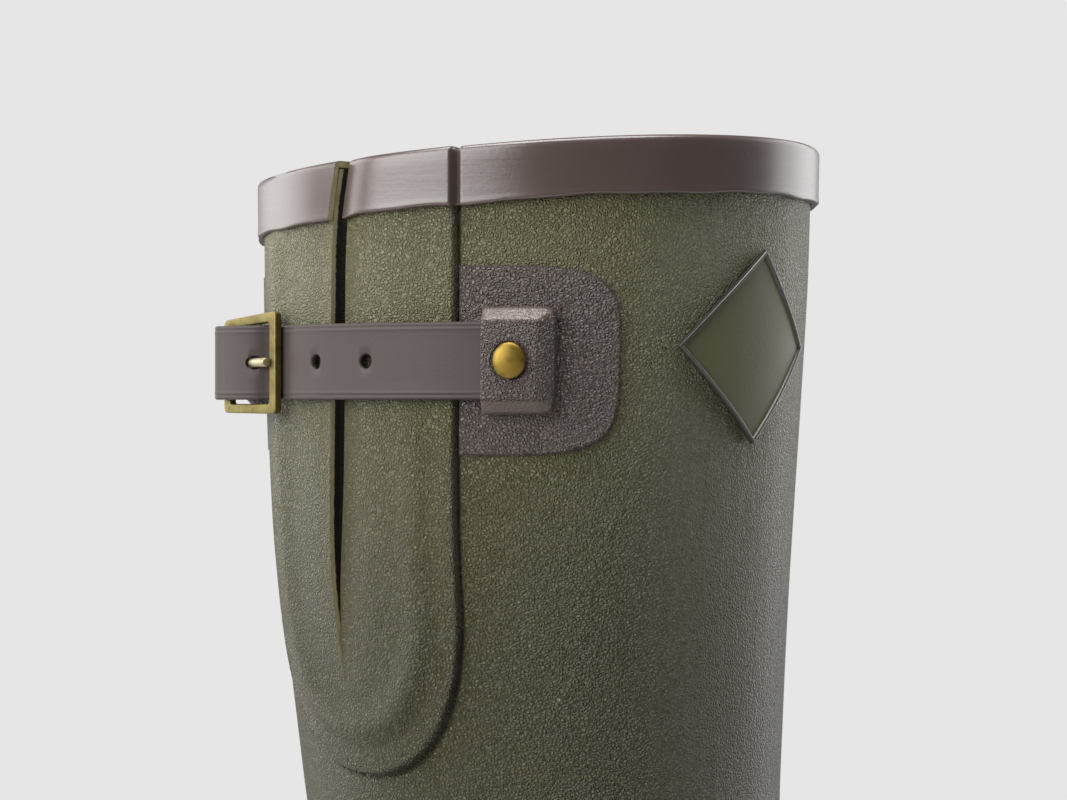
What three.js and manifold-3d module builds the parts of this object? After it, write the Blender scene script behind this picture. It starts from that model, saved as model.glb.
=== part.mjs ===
// Right rubber boot with an adjustable shaft, in millimetres.
// The toe points along +X, the outer side faces -Y and the boot stands on Z = 0.
import * as THREE from 'three';
import { mergeVertices } from 'three/addons/utils/BufferGeometryUtils.js';
import Module from 'manifold-3d';

const wasm = await Module();
wasm.setup();

// Driving dimensions of the last and the shaft.
const FOOT_LENGTH = 288;
const BALL_HALF_WIDTH = 49;
const HEEL_SEAT = 30;
const ANKLE_HEIGHT = 150;
const BOOT_HEIGHT = 402;
const COLLAR_DROP = 10;
const CALF_HALF_DEPTH = 69;
const CALF_HALF_WIDTH = 65;
const CALF_CENTRE = 54;
const TOE_SWING = 8.5;
const ARCH_HOLLOW = 5;
const WALL = 3;
const CLEARANCE = 0.3;

// Outsole and insole.
const ARCH_RISE = 11;
const TOE_SPRING = 10.5;
const CUP_THICKNESS = 2.2;
const LEDGE = 4.2;
const LEDGE_DROP = 7.5;
const GROOVE_DEPTH = 1;
const CUP_FILLET = 0.6;
const SIDE_STEP = 1.2;
const SIDE_DRAFT = 1;
const TREAD_DEPTH = 4;
const TREAD_GROOVE = 4;
const FORE_LUG_PITCH = 15;
const HEEL_LUG_PITCH = 17;
const SIDE_LUG_WIDTH = 26;
const LUG_STAGGER = 3;
const INSOLE_THICKNESS = 4;

// Raised gusset panel with its slit. Angles run from the front meridian towards the outer side.
const PANEL_ANGLE = 105.5;
const PANEL_HALF_ANGLE = 30;
const PANEL_LEAN_ANGLE = 3.5;
const PANEL_DROP = 150.5;
const PANEL_ROUND = 42;
const PANEL_RISE = 1.8;
const PANEL_BEVEL = 2;
const PANEL_EDGE = 0.2;
const SLIT_TOP_ANGLE = 102.6;
const SLIT_END_ANGLE = 111;
const SLIT_DROP = 127;
const SLIT_WIDTH = 2.4;
const SLIT_TAPER = 30;

// Collar band.
const BAND_HEIGHT = 13.5;
const BAND_THICKNESS = 1.6;
const BAND_CAP = 1.5;
const BAND_LIP = 0.2;
const BAND_STEP_ANGLE = 1;

// Reinforcing patches, strap and buckle.
const STRAP_DROP = 53;
const STRAP_WIDTH = 17.9;
const STRAP_THICKNESS = 1.8;
const STRAP_LIFT = 0.7;
const STRAP_LEAVE_ANGLE = 13.2;
const HOLE_DIAMETER = 3.4;
const HOLE_PITCH_ANGLE = 13;
const FIRST_HOLE_ANGLE = 92;
const PATCH_HALF_HEIGHT = 22;
const PATCH_REACH_ANGLE = 31;
const PATCH_THICKNESS = 1;
const KEEPER_HALF_HEIGHT = 12;
const KEEPER_SPAN_ANGLE = 14.5;
const FRONT_KEEPER_ANGLE = 5;
const REAR_KEEPER_ANGLE = 3;
const KEEPER_WALL = 1.8;
const KEEPER_BEVEL = 2.2;
const KEEPER_FOOT = 0.4;
const BUCKLE_ANGLE = 126.2;
const BUCKLE_STAND = 8;
const BUCKLE_TILT = 20;
const BUCKLE_LENGTH = 20;
const BUCKLE_HEIGHT = 24.7;
const BUCKLE_BAR = 2.4;
const BUCKLE_THICKNESS = 2;
const PRONG_DIAMETER = 2.2;
const PRONG_EYE_WIDTH = 3.4;
const PRONG_LAP = 0.8;
const TAB_THICKNESS = 1;
const TAB_WIDTH = 16;
const TAB_SLOT = 11;
const PRONG_HOLE_SETBACK = 2.6;
const PRONG_HOLE_STRETCH = 2.4;
const RIVET_DIAMETER = 8.4;
const RIVET_DOME = 1.7;
const RIVET_SHANK = 2.6;
const RIVET_SINK = 1.1;
const RIVET_EDGE = 0.35;

// Blank badge.
const BADGE_ANGLE = 9.5;
const BADGE_HALF_ANGLE = 21;
const BADGE_DROP = 49;
const BADGE_HALF_HEIGHT = 23;
const BADGE_FIELD = 0.7;
const BADGE_RIM = 1.5;

// Shares of a section's length, from its back, where its widths and bends are set.
const HEEL_STATION = 0.16;
const WAIST_STATION = 0.46;
const BALL_STATION = 0.72;
const ARCH_SPAN = 0.16;
const SWING_CROSSING = 0.63;

// Extra squareness of the heel's back at the sole.
const HEEL_BLUNT = 0.5;

// Section that the outsole's cup reaches up to, and squareness of the panel's and patches' outlines.
const CUP_RING = 0.45;
const PANEL_SQUARENESS = 2.2;
const PATCH_SQUARENESS = 4.5;

// Shares of the rim that the badge's raised edge lies between, and of the strap's width in its tip.
const BADGE_RIM_SHARES = [0.84, 0.9];
const STRAP_TIP_SHARE = 0.45;

// Mesh density: steps round half a loop, up the shell and along the strap.
const HALF_LOOP_COUNT = 24;
const RING_COUNT = 21;
const STRAP_COUNT = 52;
const STRAP_BEND_SHARE = 0.5;

// Sole line: along = share of the foot's length, top = share of the heel seat's height,
// arch and spring = shares of the arch's rise and of the toe spring under the sole.
const SOLE_LINE = [
  { along: -0.03, top: 1.000, arch: 0.00, spring: 0.10 },
  { along: 0.03, top: 1.000, arch: 0.00, spring: 0.00 },
  { along: 0.25, top: 0.985, arch: 0.00, spring: 0.00 },
  { along: 0.27, top: 0.970, arch: 1.00, spring: 0.00 },
  { along: 0.42, top: 0.815, arch: 0.95, spring: 0.00 },
  { along: 0.56, top: 0.655, arch: 0.10, spring: 0.00 },
  { along: 0.60, top: 0.615, arch: 0.00, spring: 0.00 },
  { along: 0.80, top: 0.580, arch: 0.00, spring: 0.00 },
  { along: 0.90, top: 0.665, arch: 0.00, spring: 0.30 },
  { along: 1.00, top: 0.880, arch: 0.00, spring: 1.00 },
  { along: 1.03, top: 0.940, arch: 0.00, spring: 1.25 },
];

// Foot sections, level cuts from the sole to the ankle: up = share of the way from seat to ankle,
// back and front = shares of the foot's length, heel, waist and ball = shares of the ball's half
// width, blunt = how square the ends are, follow = how much of the sole line's dip the cut keeps.
const FOOT_SECTIONS = [
  { up: 0.00, back: 0.012, front: 1.000, heel: 0.80, waist: 0.69, ball: 1.01, blunt: 2.70, follow: 1.00 },
  { up: 0.12, back: 0.002, front: 1.009, heel: 0.84, waist: 0.75, ball: 1.05, blunt: 2.70, follow: 0.95 },
  { up: 0.24, back: 0.000, front: 0.986, heel: 0.85, waist: 0.78, ball: 1.02, blunt: 2.60, follow: 0.70 },
  { up: 0.34, back: 0.004, front: 0.932, heel: 0.86, waist: 0.78, ball: 0.96, blunt: 2.45, follow: 0.35 },
  { up: 0.44, back: 0.010, front: 0.850, heel: 0.85, waist: 0.78, ball: 0.89, blunt: 2.35, follow: 0.15 },
  { up: 0.55, back: 0.018, front: 0.752, heel: 0.84, waist: 0.79, ball: 0.82, blunt: 2.30, follow: 0.00 },
  { up: 0.66, back: 0.025, front: 0.663, heel: 0.85, waist: 0.82, ball: 0.80, blunt: 2.25, follow: 0.00 },
  { up: 0.78, back: 0.030, front: 0.584, heel: 0.86, waist: 0.86, ball: 0.80, blunt: 2.20, follow: 0.00 },
  { up: 0.89, back: 0.032, front: 0.527, heel: 0.87, waist: 0.90, ball: 0.83, blunt: 2.10, follow: 0.00 },
  { up: 1.00, back: 0.031, front: 0.485, heel: 0.89, waist: 0.94, ball: 0.87, blunt: 2.10, follow: 0.00 },
];

// Shaft sections, tilted with the collar: up = share of the way from ankle to collar, back and
// front = shares of the calf's half depth from the calf's centre, wide = share of its half width.
const SHAFT_SECTIONS = [
  { up: 0.06, back: 0.660, front: 1.105, wide: 0.725, blunt: 2.05 },
  { up: 0.14, back: 0.690, front: 0.990, wide: 0.760, blunt: 2.00 },
  { up: 0.24, back: 0.745, front: 0.925, wide: 0.805, blunt: 2.00 },
  { up: 0.35, back: 0.826, front: 0.899, wide: 0.854, blunt: 2.00 },
  { up: 0.45, back: 0.873, front: 0.909, wide: 0.891, blunt: 2.00 },
  { up: 0.55, back: 0.917, front: 0.924, wide: 0.923, blunt: 2.00 },
  { up: 0.65, back: 0.954, front: 0.945, wide: 0.954, blunt: 2.00 },
  { up: 0.75, back: 0.974, front: 0.971, wide: 0.969, blunt: 2.00 },
  { up: 0.89, back: 0.984, front: 1.000, wide: 0.992, blunt: 2.00 },
  { up: 1.00, back: 0.988, front: 1.010, wide: 1.000, blunt: 2.00 },
];

// Smooth curve through the samples that never overshoots them.
function smoothCurve(xs, ys) {
  const slopes = xs.slice(1).map((x, i) => (ys[i + 1] - ys[i]) / (x - xs[i]));
  const tangents = xs.map((_, i) => {
    if (i === 0) return slopes[0];
    if (i === xs.length - 1) return slopes[i - 1];
    const product = slopes[i - 1] * slopes[i];
    return product <= 0 ? 0 : (2 * product) / (slopes[i - 1] + slopes[i]);
  });
  return (x) => {
    const at = Math.min(Math.max(x, xs[0]), xs[xs.length - 1]);
    let i = 0;
    while (i < xs.length - 2 && at > xs[i + 1]) i += 1;
    const h = xs[i + 1] - xs[i];
    const t = (at - xs[i]) / h;
    const rest = 1 - t;
    return ys[i] * (1 + 2 * t) * rest * rest + tangents[i] * h * t * rest * rest
      + ys[i + 1] * t * t * (3 - 2 * t) - tangents[i + 1] * h * t * t * rest;
  };
}

const alongs = SOLE_LINE.map((row) => row.along * FOOT_LENGTH);
const seatHeight = smoothCurve(alongs, SOLE_LINE.map((row) => row.top * HEEL_SEAT));
const groundHeight = smoothCurve(
  alongs,
  SOLE_LINE.map((row) => row.arch * ARCH_RISE + row.spring * TOE_SPRING),
);

const footRings = FOOT_SECTIONS.map((row) => {
  const height = HEEL_SEAT + row.up * (ANKLE_HEIGHT - HEEL_SEAT);
  return {
    backHeight: height,
    frontHeight: height,
    back: row.back * FOOT_LENGTH,
    front: row.front * FOOT_LENGTH,
    heel: row.heel * BALL_HALF_WIDTH,
    waist: row.waist * BALL_HALF_WIDTH,
    ball: row.ball * BALL_HALF_WIDTH,
    blunt: row.blunt,
    follow: row.follow,
    swing: (1 - row.up) ** 1.5,
  };
});
const shaftRings = SHAFT_SECTIONS.map((row) => ({
  backHeight: ANKLE_HEIGHT + row.up * (BOOT_HEIGHT - COLLAR_DROP - ANKLE_HEIGHT),
  frontHeight: ANKLE_HEIGHT + row.up * (BOOT_HEIGHT - ANKLE_HEIGHT),
  back: CALF_CENTRE - row.back * CALF_HALF_DEPTH,
  front: CALF_CENTRE + row.front * CALF_HALF_DEPTH,
  heel: row.wide * CALF_HALF_WIDTH,
  waist: row.wide * CALF_HALF_WIDTH,
  ball: row.wide * CALF_HALF_WIDTH,
  blunt: row.blunt,
  follow: 0,
  swing: 0,
}));
const rings = [...footRings, ...shaftRings];
const TOP_RING = rings.length - 1;
const ringIndex = rings.map((_, i) => i);
const section = {};
for (const key of Object.keys(rings[0])) {
  section[key] = smoothCurve(ringIndex, rings.map((ring) => ring[key]));
}

const RADIANS = Math.PI / 180;

// Half width of one section where share runs from its back, 0, to its front, 1.
function halfWidth(ring, share) {
  const stations = [0, HEEL_STATION, WAIST_STATION, BALL_STATION, 1];
  const heel = section.heel(ring);
  const ball = section.ball(ring);
  return smoothCurve(stations, [heel, heel, section.waist(ring), ball, ball])(share);
}

// Point of the outer skin: ring runs up the sections, angle from the front to the outer side.
function skin(ring, angle) {
  const cos = Math.cos(angle * RADIANS);
  const sin = Math.sin(angle * RADIANS);
  const swing = section.swing(ring);
  const power = 2 / (section.blunt(ring) + (cos < 0 ? HEEL_BLUNT * swing : 0));
  const share = (1 + Math.sign(cos) * Math.abs(cos) ** power) / 2;
  const back = section.back(ring);
  const x = back + (section.front(ring) - back) * share;
  const side = Math.sign(sin) * Math.abs(sin) ** power;
  const arch = Math.exp(-(((share - WAIST_STATION) / ARCH_SPAN) ** 2));
  const inward = side < 0 ? ARCH_HOLLOW * swing * arch : 0;
  const bend = (TOE_SWING * swing * share * (share - SWING_CROSSING)) / (1 - SWING_CROSSING);
  const y = bend - (halfWidth(ring, share) - inward) * side;
  const backHeight = section.backHeight(ring);
  const level = backHeight + (section.frontHeight(ring) - backHeight) * share;
  const z = level + section.follow(ring) * (seatHeight(x) - HEEL_SEAT);
  return new THREE.Vector3(x, y, z);
}

// Unit normal of the skin, pointing out.
function skinNormal(ring, angle) {
  const low = Math.max(ring - 0.02, 0);
  const high = Math.min(ring + 0.02, TOP_RING);
  const up = skin(high, angle).sub(skin(low, angle));
  const around = skin(ring, angle + 0.5).sub(skin(ring, angle - 0.5));
  return around.cross(up).negate().normalize();
}

// Skin point moved out by stand, and by rise along Z.
function offsetSkin(ring, angle, stand, rise = 0) {
  const point = skin(ring, angle).addScaledVector(skinNormal(ring, angle), stand);
  point.z += rise;
  return point;
}

function ringAtHeight(angle, z) {
  let low = 0;
  let high = TOP_RING;
  for (let step = 0; step < 30; step += 1) {
    const middle = (low + high) / 2;
    if (skin(middle, angle).z < z) low = middle;
    else high = middle;
  }
  return (low + high) / 2;
}

const rimHeight = (angle) => skin(TOP_RING, angle).z;

// Point on the shaft at a given height, moved out level by stand.
function shaftPoint(angle, z, stand) {
  const ring = ringAtHeight(angle, z);
  const point = skin(ring, angle);
  const normal = skinNormal(ring, angle).setZ(0).normalize();
  return point.addScaledVector(normal, stand).setZ(z);
}

// Geometry from vertices and triangles.
function geometryOf(points, triangles) {
  const geometry = new THREE.BufferGeometry();
  const places = points.flatMap((p) => [p.x, p.y, p.z]);
  geometry.setAttribute('position', new THREE.Float32BufferAttribute(places, 3));
  geometry.setIndex(triangles.flat());
  return geometry;
}

function solidOf(geometry) {
  geometry.deleteAttribute('normal');
  geometry.deleteAttribute('uv');
  const merged = mergeVertices(geometry, 1e-4);
  const mesh = new wasm.Mesh({
    numProp: 3,
    vertProperties: new Float32Array(merged.attributes.position.array),
    triVerts: new Uint32Array(merged.index.array),
  });
  mesh.merge();
  return new wasm.Manifold(mesh);
}

function meshOf(name, solid, material) {
  const { vertProperties, triVerts, numProp } = solid.getMesh();
  const points = [];
  for (let i = 0; i < vertProperties.length; i += numProp) {
    points.push(vertProperties[i], vertProperties[i + 1], vertProperties[i + 2]);
  }
  const geometry = new THREE.BufferGeometry();
  geometry.setAttribute('position', new THREE.Float32BufferAttribute(points, 3));
  geometry.setIndex(Array.from(triVerts));
  geometry.computeVertexNormals();
  const mesh = new THREE.Mesh(geometry, material);
  mesh.name = name;
  return mesh;
}

// Ring of closed loops that closes on itself, as a wall's outside followed by its inside.
function closedBand(loops) {
  const count = loops[0].length;
  const triangles = [];
  loops.forEach((_, i) => {
    const next = (i + 1) % loops.length;
    for (let k = 0; k < count; k += 1) {
      const a = i * count + k;
      const b = i * count + ((k + 1) % count);
      const c = next * count + k;
      const d = next * count + ((k + 1) % count);
      triangles.push([a, c, b], [b, c, d]);
    }
  });
  return geometryOf(loops.flat(), triangles);
}

// Solid from stacked loops with ladder caps, point k facing point count - k across the loop.
function cappedStack(loops) {
  const count = loops[0].length;
  const triangles = [];
  for (let i = 0; i < loops.length - 1; i += 1) {
    for (let k = 0; k < count; k += 1) {
      const a = i * count + k;
      const b = i * count + ((k + 1) % count);
      triangles.push([a, b, a + count], [b, b + count, a + count]);
    }
  }
  const cap = (start, flip) => {
    for (let k = 0; k < count / 2; k += 1) {
      const a = start + k;
      const b = start + k + 1;
      const c = start + ((count - k) % count);
      const d = start + count - k - 1;
      const pair = [];
      if (a !== c) pair.push([a, b, c]);
      if (b !== d) pair.push([b, d, c]);
      pair.forEach((t) => triangles.push(flip ? [t[0], t[2], t[1]] : t));
    }
  };
  cap(0, true);
  cap((loops.length - 1) * count, false);
  return geometryOf(loops.flat(), triangles);
}

// Closed plate over a grid: face and back give a point for each column u and row v.
function plate(us, vs, face, back) {
  const columns = us.length;
  const rows = vs.length;
  const points = [];
  for (const layer of [face, back]) {
    for (const v of vs) for (const u of us) points.push(layer(u, v));
  }
  const half = columns * rows;
  const triangles = [];
  for (let r = 0; r < rows - 1; r += 1) {
    for (let c = 0; c < columns - 1; c += 1) {
      const a = r * columns + c;
      const b = a + columns;
      triangles.push([a, b, a + 1], [b, b + 1, a + 1]);
      triangles.push([half + a, half + a + 1, half + b], [half + b, half + a + 1, half + b + 1]);
    }
  }
  const edge = [];
  for (let c = 0; c < columns; c += 1) edge.push(c);
  for (let r = 1; r < rows; r += 1) edge.push(r * columns + columns - 1);
  for (let c = columns - 2; c >= 0; c -= 1) edge.push((rows - 1) * columns + c);
  for (let r = rows - 2; r > 0; r -= 1) edge.push(r * columns);
  edge.forEach((a, i) => {
    const b = edge[(i + 1) % edge.length];
    triangles.push([a, b, half + a], [b, half + b, half + a]);
  });
  return solidOf(geometryOf(points, triangles));
}

// Numbers from start to end in equal steps.
function spread(start, end, steps) {
  return Array.from({ length: steps + 1 }, (_, i) => start + ((end - start) * i) / steps);
}

function boxSolid(x0, x1, y0, y1, z0, z1) {
  const box = new THREE.BoxGeometry(x1 - x0, y1 - y0, z1 - z0);
  box.translate((x0 + x1) / 2, (y0 + y1) / 2, (z0 + z1) / 2);
  return solidOf(box);
}

// Angles of a loop's vertices; their count is even, so that each has one facing it.
const loopCount = 2 * Math.round(HALF_LOOP_COUNT);
const loopAngles = spread(0, 360, loopCount).slice(0, -1);

// Raised panel outline: its middle leans forward in the rounded bottom; across runs from -1 to 1.
const panelBottom = BOOT_HEIGHT - PANEL_DROP;
function panelAngle(across, z) {
  const below = Math.min(Math.max(panelBottom + PANEL_ROUND - z, 0) / PANEL_ROUND, 1);
  const half = PANEL_HALF_ANGLE * (1 - below ** PANEL_SQUARENESS) ** (1 / PANEL_SQUARENESS);
  return PANEL_ANGLE - PANEL_LEAN_ANGLE * below ** 2 + across * half;
}

function slitAngle(z) {
  const down = (BOOT_HEIGHT - z) / SLIT_DROP;
  return SLIT_TOP_ANGLE + (SLIT_END_ANGLE - SLIT_TOP_ANGLE) * Math.sin(Math.min(down, 1) * Math.PI * 0.5);
}

const degreesPerMillimetre = 1 / (CALF_HALF_WIDTH * RADIANS);
const capUnderside = BAND_CAP + CLEARANCE;

// Point in the slit's opening, at its edges where across is -1 or 1; it narrows towards its end.
function slitPoint(across, z, stand) {
  const end = BOOT_HEIGHT - SLIT_DROP;
  const open = Math.min((z - end) / SLIT_TAPER + PANEL_EDGE, 1);
  const shift = across * open * (SLIT_WIDTH / 2) * degreesPerMillimetre;
  const level = Math.min(z, rimHeight(PANEL_ANGLE) - PANEL_EDGE);
  return shaftPoint(slitAngle(z) + shift, level, stand).setZ(z);
}

function makeUpper() {
  const stops = [0, CUP_RING, ...spread(1, TOP_RING, RING_COUNT)];
  const outside = stops.map((ring) => loopAngles.map((angle) => (
    ring === TOP_RING ? shaftPoint(angle, rimHeight(angle) - capUnderside, 0) : skin(ring, angle)
  )));
  const inside = [...stops].reverse().map((ring) => loopAngles.map((angle) => (
    ring === TOP_RING ? shaftPoint(angle, rimHeight(angle) - capUnderside, -WALL)
      : offsetSkin(ring, angle, -WALL).setZ(skin(ring, angle).z)
  )));
  const shell = solidOf(closedBand([...outside, ...inside]));

  const bevel = PANEL_BEVEL * degreesPerMillimetre / PANEL_HALF_ANGLE;
  const us = [-1, bevel - 1, -0.6, -0.3, 0, 0.3, 0.6, 1 - bevel, 1];
  const bevelUp = PANEL_BEVEL / (PANEL_DROP - capUnderside);
  const vs = [0.001, bevelUp, 0.03, 0.065, 0.11, 0.17, 0.24, ...spread(0.32, 1, 8)];
  const panelPoint = (u, v, stand) => {
    const angle = panelAngle(u, panelBottom + v * (PANEL_DROP - COLLAR_DROP));
    const top = rimHeight(angle) - capUnderside;
    return shaftPoint(angle, panelBottom + v * (top - panelBottom), stand);
  };
  const panel = plate(
    us,
    vs,
    (u, v) => panelPoint(u, v, Math.abs(u) > 0.99 || v < 0.002 ? PANEL_EDGE : PANEL_RISE),
    (u, v) => panelPoint(u, v, -WALL / 2),
  );

  const slit = plate(
    [-1, 1],
    spread(BOOT_HEIGHT - SLIT_DROP, BOOT_HEIGHT + 1, 10),
    (u, z) => slitPoint(u, z, PANEL_RISE + WALL / 2),
    (u, z) => slitPoint(u, z, -1.5 * WALL),
  );
  return shell.add(panel).subtract(slit);
}

// Binding around the rim, open where the slit runs through it and thicker over the panel.
function makeCollarBand() {
  const outer = CLEARANCE + BAND_THICKNESS;
  const profile = [
    [CLEARANCE, -BAND_HEIGHT], [outer, -BAND_HEIGHT], [outer + BAND_LIP, 4 * BAND_LIP - BAND_HEIGHT],
    [outer, 8 * BAND_LIP - BAND_HEIGHT], [outer, -0.9 * BAND_CAP], [outer - 3 * BAND_LIP, -2 * BAND_LIP],
    [BAND_LIP, 0], [-WALL + 3 * BAND_LIP, 0], [-WALL, -2 * BAND_LIP], [-WALL, -BAND_CAP],
    [CLEARANCE, -BAND_CAP],
  ];
  const gap = (SLIT_WIDTH / 2) * degreesPerMillimetre;
  const panelStart = PANEL_ANGLE - PANEL_HALF_ANGLE + 360;
  const panelEnd = PANEL_ANGLE + PANEL_HALF_ANGLE;
  const angles = [
    ...spread(SLIT_TOP_ANGLE + gap, panelEnd, 5),
    ...spread(panelEnd + BAND_STEP_ANGLE, panelStart - BAND_STEP_ANGLE, 38),
    ...spread(panelStart, SLIT_TOP_ANGLE - gap + 360, 5),
  ];
  const loops = angles.map((angle, i) => {
    const onPanel = angle <= panelEnd || angle >= panelStart;
    return profile.map(([stand, up]) => {
      const rise = onPanel && stand > 0 ? PANEL_RISE : 0;
      const height = rimHeight(angle) + up;
      const atSlit = i === 0 || i === angles.length - 1;
      const lean = atSlit ? slitAngle(height) - SLIT_TOP_ANGLE : 0;
      return shaftPoint(angle + lean, height, stand + rise);
    });
  });
  const count = profile.length;
  const triangles = [];
  for (let i = 0; i < loops.length - 1; i += 1) {
    for (let k = 0; k < count; k += 1) {
      const a = i * count + k;
      const b = i * count + ((k + 1) % count);
      triangles.push([a, b, a + count], [b, b + count, a + count]);
    }
  }
  const flat = profile.map(([stand, up]) => new THREE.Vector2(stand, up));
  const faces = THREE.ShapeUtils.triangulateShape(flat, []);
  const last = (loops.length - 1) * count;
  faces.forEach(([a, b, c]) => triangles.push([a, c, b], [last + a, last + b, last + c]));
  return solidOf(geometryOf(loops.flat(), triangles));
}

function makeOutsole() {
  // out = how far the side stands out of the upper, ring = where on the upper it is measured,
  // below = depth under the seat, above = height over the ground instead.
  const side = [
    { ring: 0, out: CLEARANCE, below: CLEARANCE },
    { ring: 0.2, out: CLEARANCE },
    { ring: CUP_RING, out: CLEARANCE },
    { ring: CUP_RING, out: CUP_THICKNESS },
    { ring: 0.08, out: CUP_THICKNESS + CUP_FILLET },
    { ring: 0, out: LEDGE, below: CUP_FILLET },
    { ring: 0, out: LEDGE, below: LEDGE_DROP / 2 },
    { ring: 0, out: LEDGE - GROOVE_DEPTH, below: LEDGE_DROP / 2 + SIDE_STEP },
    { ring: 0, out: LEDGE - GROOVE_DEPTH, below: LEDGE_DROP - SIDE_STEP },
    { ring: 0, out: LEDGE - SIDE_DRAFT / 2, below: LEDGE_DROP },
    { ring: 0, out: LEDGE - SIDE_DRAFT, above: SIDE_STEP },
    { ring: 0, out: LEDGE - 2 * SIDE_DRAFT, above: 0 },
  ];
  const loops = side.map((level) => loopAngles.map((angle) => {
    const point = skin(level.ring, angle);
    const normal = skinNormal(level.ring, angle).setZ(0).normalize();
    point.addScaledVector(normal, level.out);
    if (level.below !== undefined) point.z = seatHeight(point.x) - level.below;
    if (level.above !== undefined) point.z = groundHeight(point.x) + level.above;
    return point;
  }));
  let sole = solidOf(cappedStack(loops));

  const reach = BALL_HALF_WIDTH + 2 * LEDGE + TOE_SWING;
  const cut = (x0, x1, y0, y1) => {
    const roof = groundHeight((x0 + x1) / 2) + TREAD_DEPTH;
    sole = sole.subtract(boxSolid(x0, x1, y0, y1, -TREAD_DEPTH, roof));
  };
  const lugRows = (from, to, pitch) => {
    const rows = Math.round(((to - from) * FOOT_LENGTH) / pitch);
    return spread(from * FOOT_LENGTH, to * FOOT_LENGTH, rows);
  };
  const cutField = (from, to, pitch) => {
    const rows = lugRows(from, to, pitch);
    rows.slice(1, -1).forEach((x) => cut(x - TREAD_GROOVE / 2, x + TREAD_GROOVE / 2, -reach, reach));
    rows.slice(0, -1).forEach((x, i) => {
      for (const hand of [-1, 1]) {
        const y = hand * (SIDE_LUG_WIDTH / 2) + (i % 2 ? LUG_STAGGER : -LUG_STAGGER);
        cut(x, rows[i + 1], y - TREAD_GROOVE / 2, y + TREAD_GROOVE / 2);
      }
    });
  };
  cutField(0.58, 0.96, FORE_LUG_PITCH);
  cutField(0.04, 0.24, HEEL_LUG_PITCH);
  return sole;
}

function makeInsole() {
  const inset = -(WALL + 2 * CLEARANCE);
  const loops = [INSOLE_THICKNESS, 0].map((height) => loopAngles.map((angle) => {
    const point = skin(0, angle).addScaledVector(skinNormal(0, angle).setZ(0).normalize(), inset);
    return point.setZ(seatHeight(point.x) + height);
  }));
  return solidOf(cappedStack(loops));
}

const strapHeight = BOOT_HEIGHT - STRAP_DROP;
const onShaft = (angle, stand) => shaftPoint(angle, strapHeight, stand);
const strapStand = PANEL_RISE + STRAP_LIFT + STRAP_THICKNESS / 2;

// D-shaped patch beside the panel with its raised keeper block, which is open towards the panel.
// direction -1 is the front patch and 1 the rear one; grip is the thickness and width it holds.
function makePatch(direction, grip) {
  const edge = PANEL_ANGLE + direction * (PANEL_HALF_ANGLE + 2 * CLEARANCE * degreesPerMillimetre);
  const ordered = (shares) => (direction > 0 ? shares : shares.map((share) => -share).reverse());
  const reach = (v) => (
    PATCH_REACH_ANGLE * (1 - Math.abs(v) ** PATCH_SQUARENESS) ** (1 / PATCH_SQUARENESS)
  );
  const patchPoint = (u, v, stand) => (
    shaftPoint(edge + u * reach(v), strapHeight + v * PATCH_HALF_HEIGHT, stand)
  );
  const sheet = plate(
    ordered([0, 0.2, 0.4, 0.6, 0.8, 1]),
    [-0.995, -0.96, -0.88, -0.7, -0.4, 0, 0.4, 0.7, 0.88, 0.96, 0.995],
    (u, v) => patchPoint(u, v, PATCH_THICKNESS),
    (u, v) => patchPoint(u, v, CLEARANCE),
  );

  const gripTop = strapStand + grip.thickness / 2 + CLEARANCE;
  const top = gripTop + KEEPER_WALL;
  const bevelAngle = KEEPER_BEVEL * degreesPerMillimetre;
  const mouth = direction > 0 ? REAR_KEEPER_ANGLE : FRONT_KEEPER_ANGLE;
  const far = mouth + KEEPER_SPAN_ANGLE;
  const bevelShare = KEEPER_BEVEL / KEEPER_HALF_HEIGHT;
  const keeperPoint = (u, v, stand) => (
    shaftPoint(edge + u, strapHeight + v * KEEPER_HALF_HEIGHT, stand)
  );
  const keeper = plate(
    ordered([mouth, mouth + KEEPER_SPAN_ANGLE / 3, far - KEEPER_SPAN_ANGLE / 3, far - bevelAngle, far]),
    [-1, bevelShare - 1, 0, 1 - bevelShare, 1],
    (u, v) => {
      const atFoot = Math.abs(v) > 0.99 || Math.abs(u) === far;
      return keeperPoint(u, v, atFoot ? PATCH_THICKNESS + KEEPER_FOOT : top);
    },
    (u, v) => keeperPoint(u, v, (CLEARANCE + PATCH_THICKNESS) / 2),
  );
  const pocketPoint = (u, v, stand) => (
    onShaft(edge + u, stand).setZ(strapHeight + v * (grip.width / 2 + CLEARANCE))
  );
  const pocket = plate(
    ordered([mouth - 2, mouth + 2, mouth + 6, far - KEEPER_WALL * degreesPerMillimetre - bevelAngle]),
    [-1, 0, 1],
    (u, v) => pocketPoint(u, v, gripTop),
    (u, v) => pocketPoint(u, v, strapStand - grip.thickness / 2 - CLEARANCE),
  );
  return { solid: sheet.add(keeper).subtract(pocket), edge, mouth, far, top };
}

const frontPatch = makePatch(-1, { thickness: STRAP_THICKNESS, width: STRAP_WIDTH });
const rearPatch = makePatch(1, { thickness: TAB_THICKNESS, width: TAB_WIDTH });

// Frame of the buckle: x runs back along the strap, y down and z out of the boot.
const buckleFrame = new THREE.Matrix4();
{
  const centre = shaftPoint(BUCKLE_ANGLE, strapHeight, BUCKLE_STAND);
  const ahead = shaftPoint(BUCKLE_ANGLE + 0.5, strapHeight, BUCKLE_STAND);
  const up = new THREE.Vector3(0, 0, 1);
  const along = ahead.sub(centre).normalize().applyAxisAngle(up, BUCKLE_TILT * RADIANS);
  const down = new THREE.Vector3(0, 0, -1);
  const out = along.clone().cross(down).normalize();
  buckleFrame.makeBasis(along, down, out).setPosition(centre);
}
const fromBuckle = (x, z) => new THREE.Vector3(x, 0, z).applyMatrix4(buckleFrame);

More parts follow.
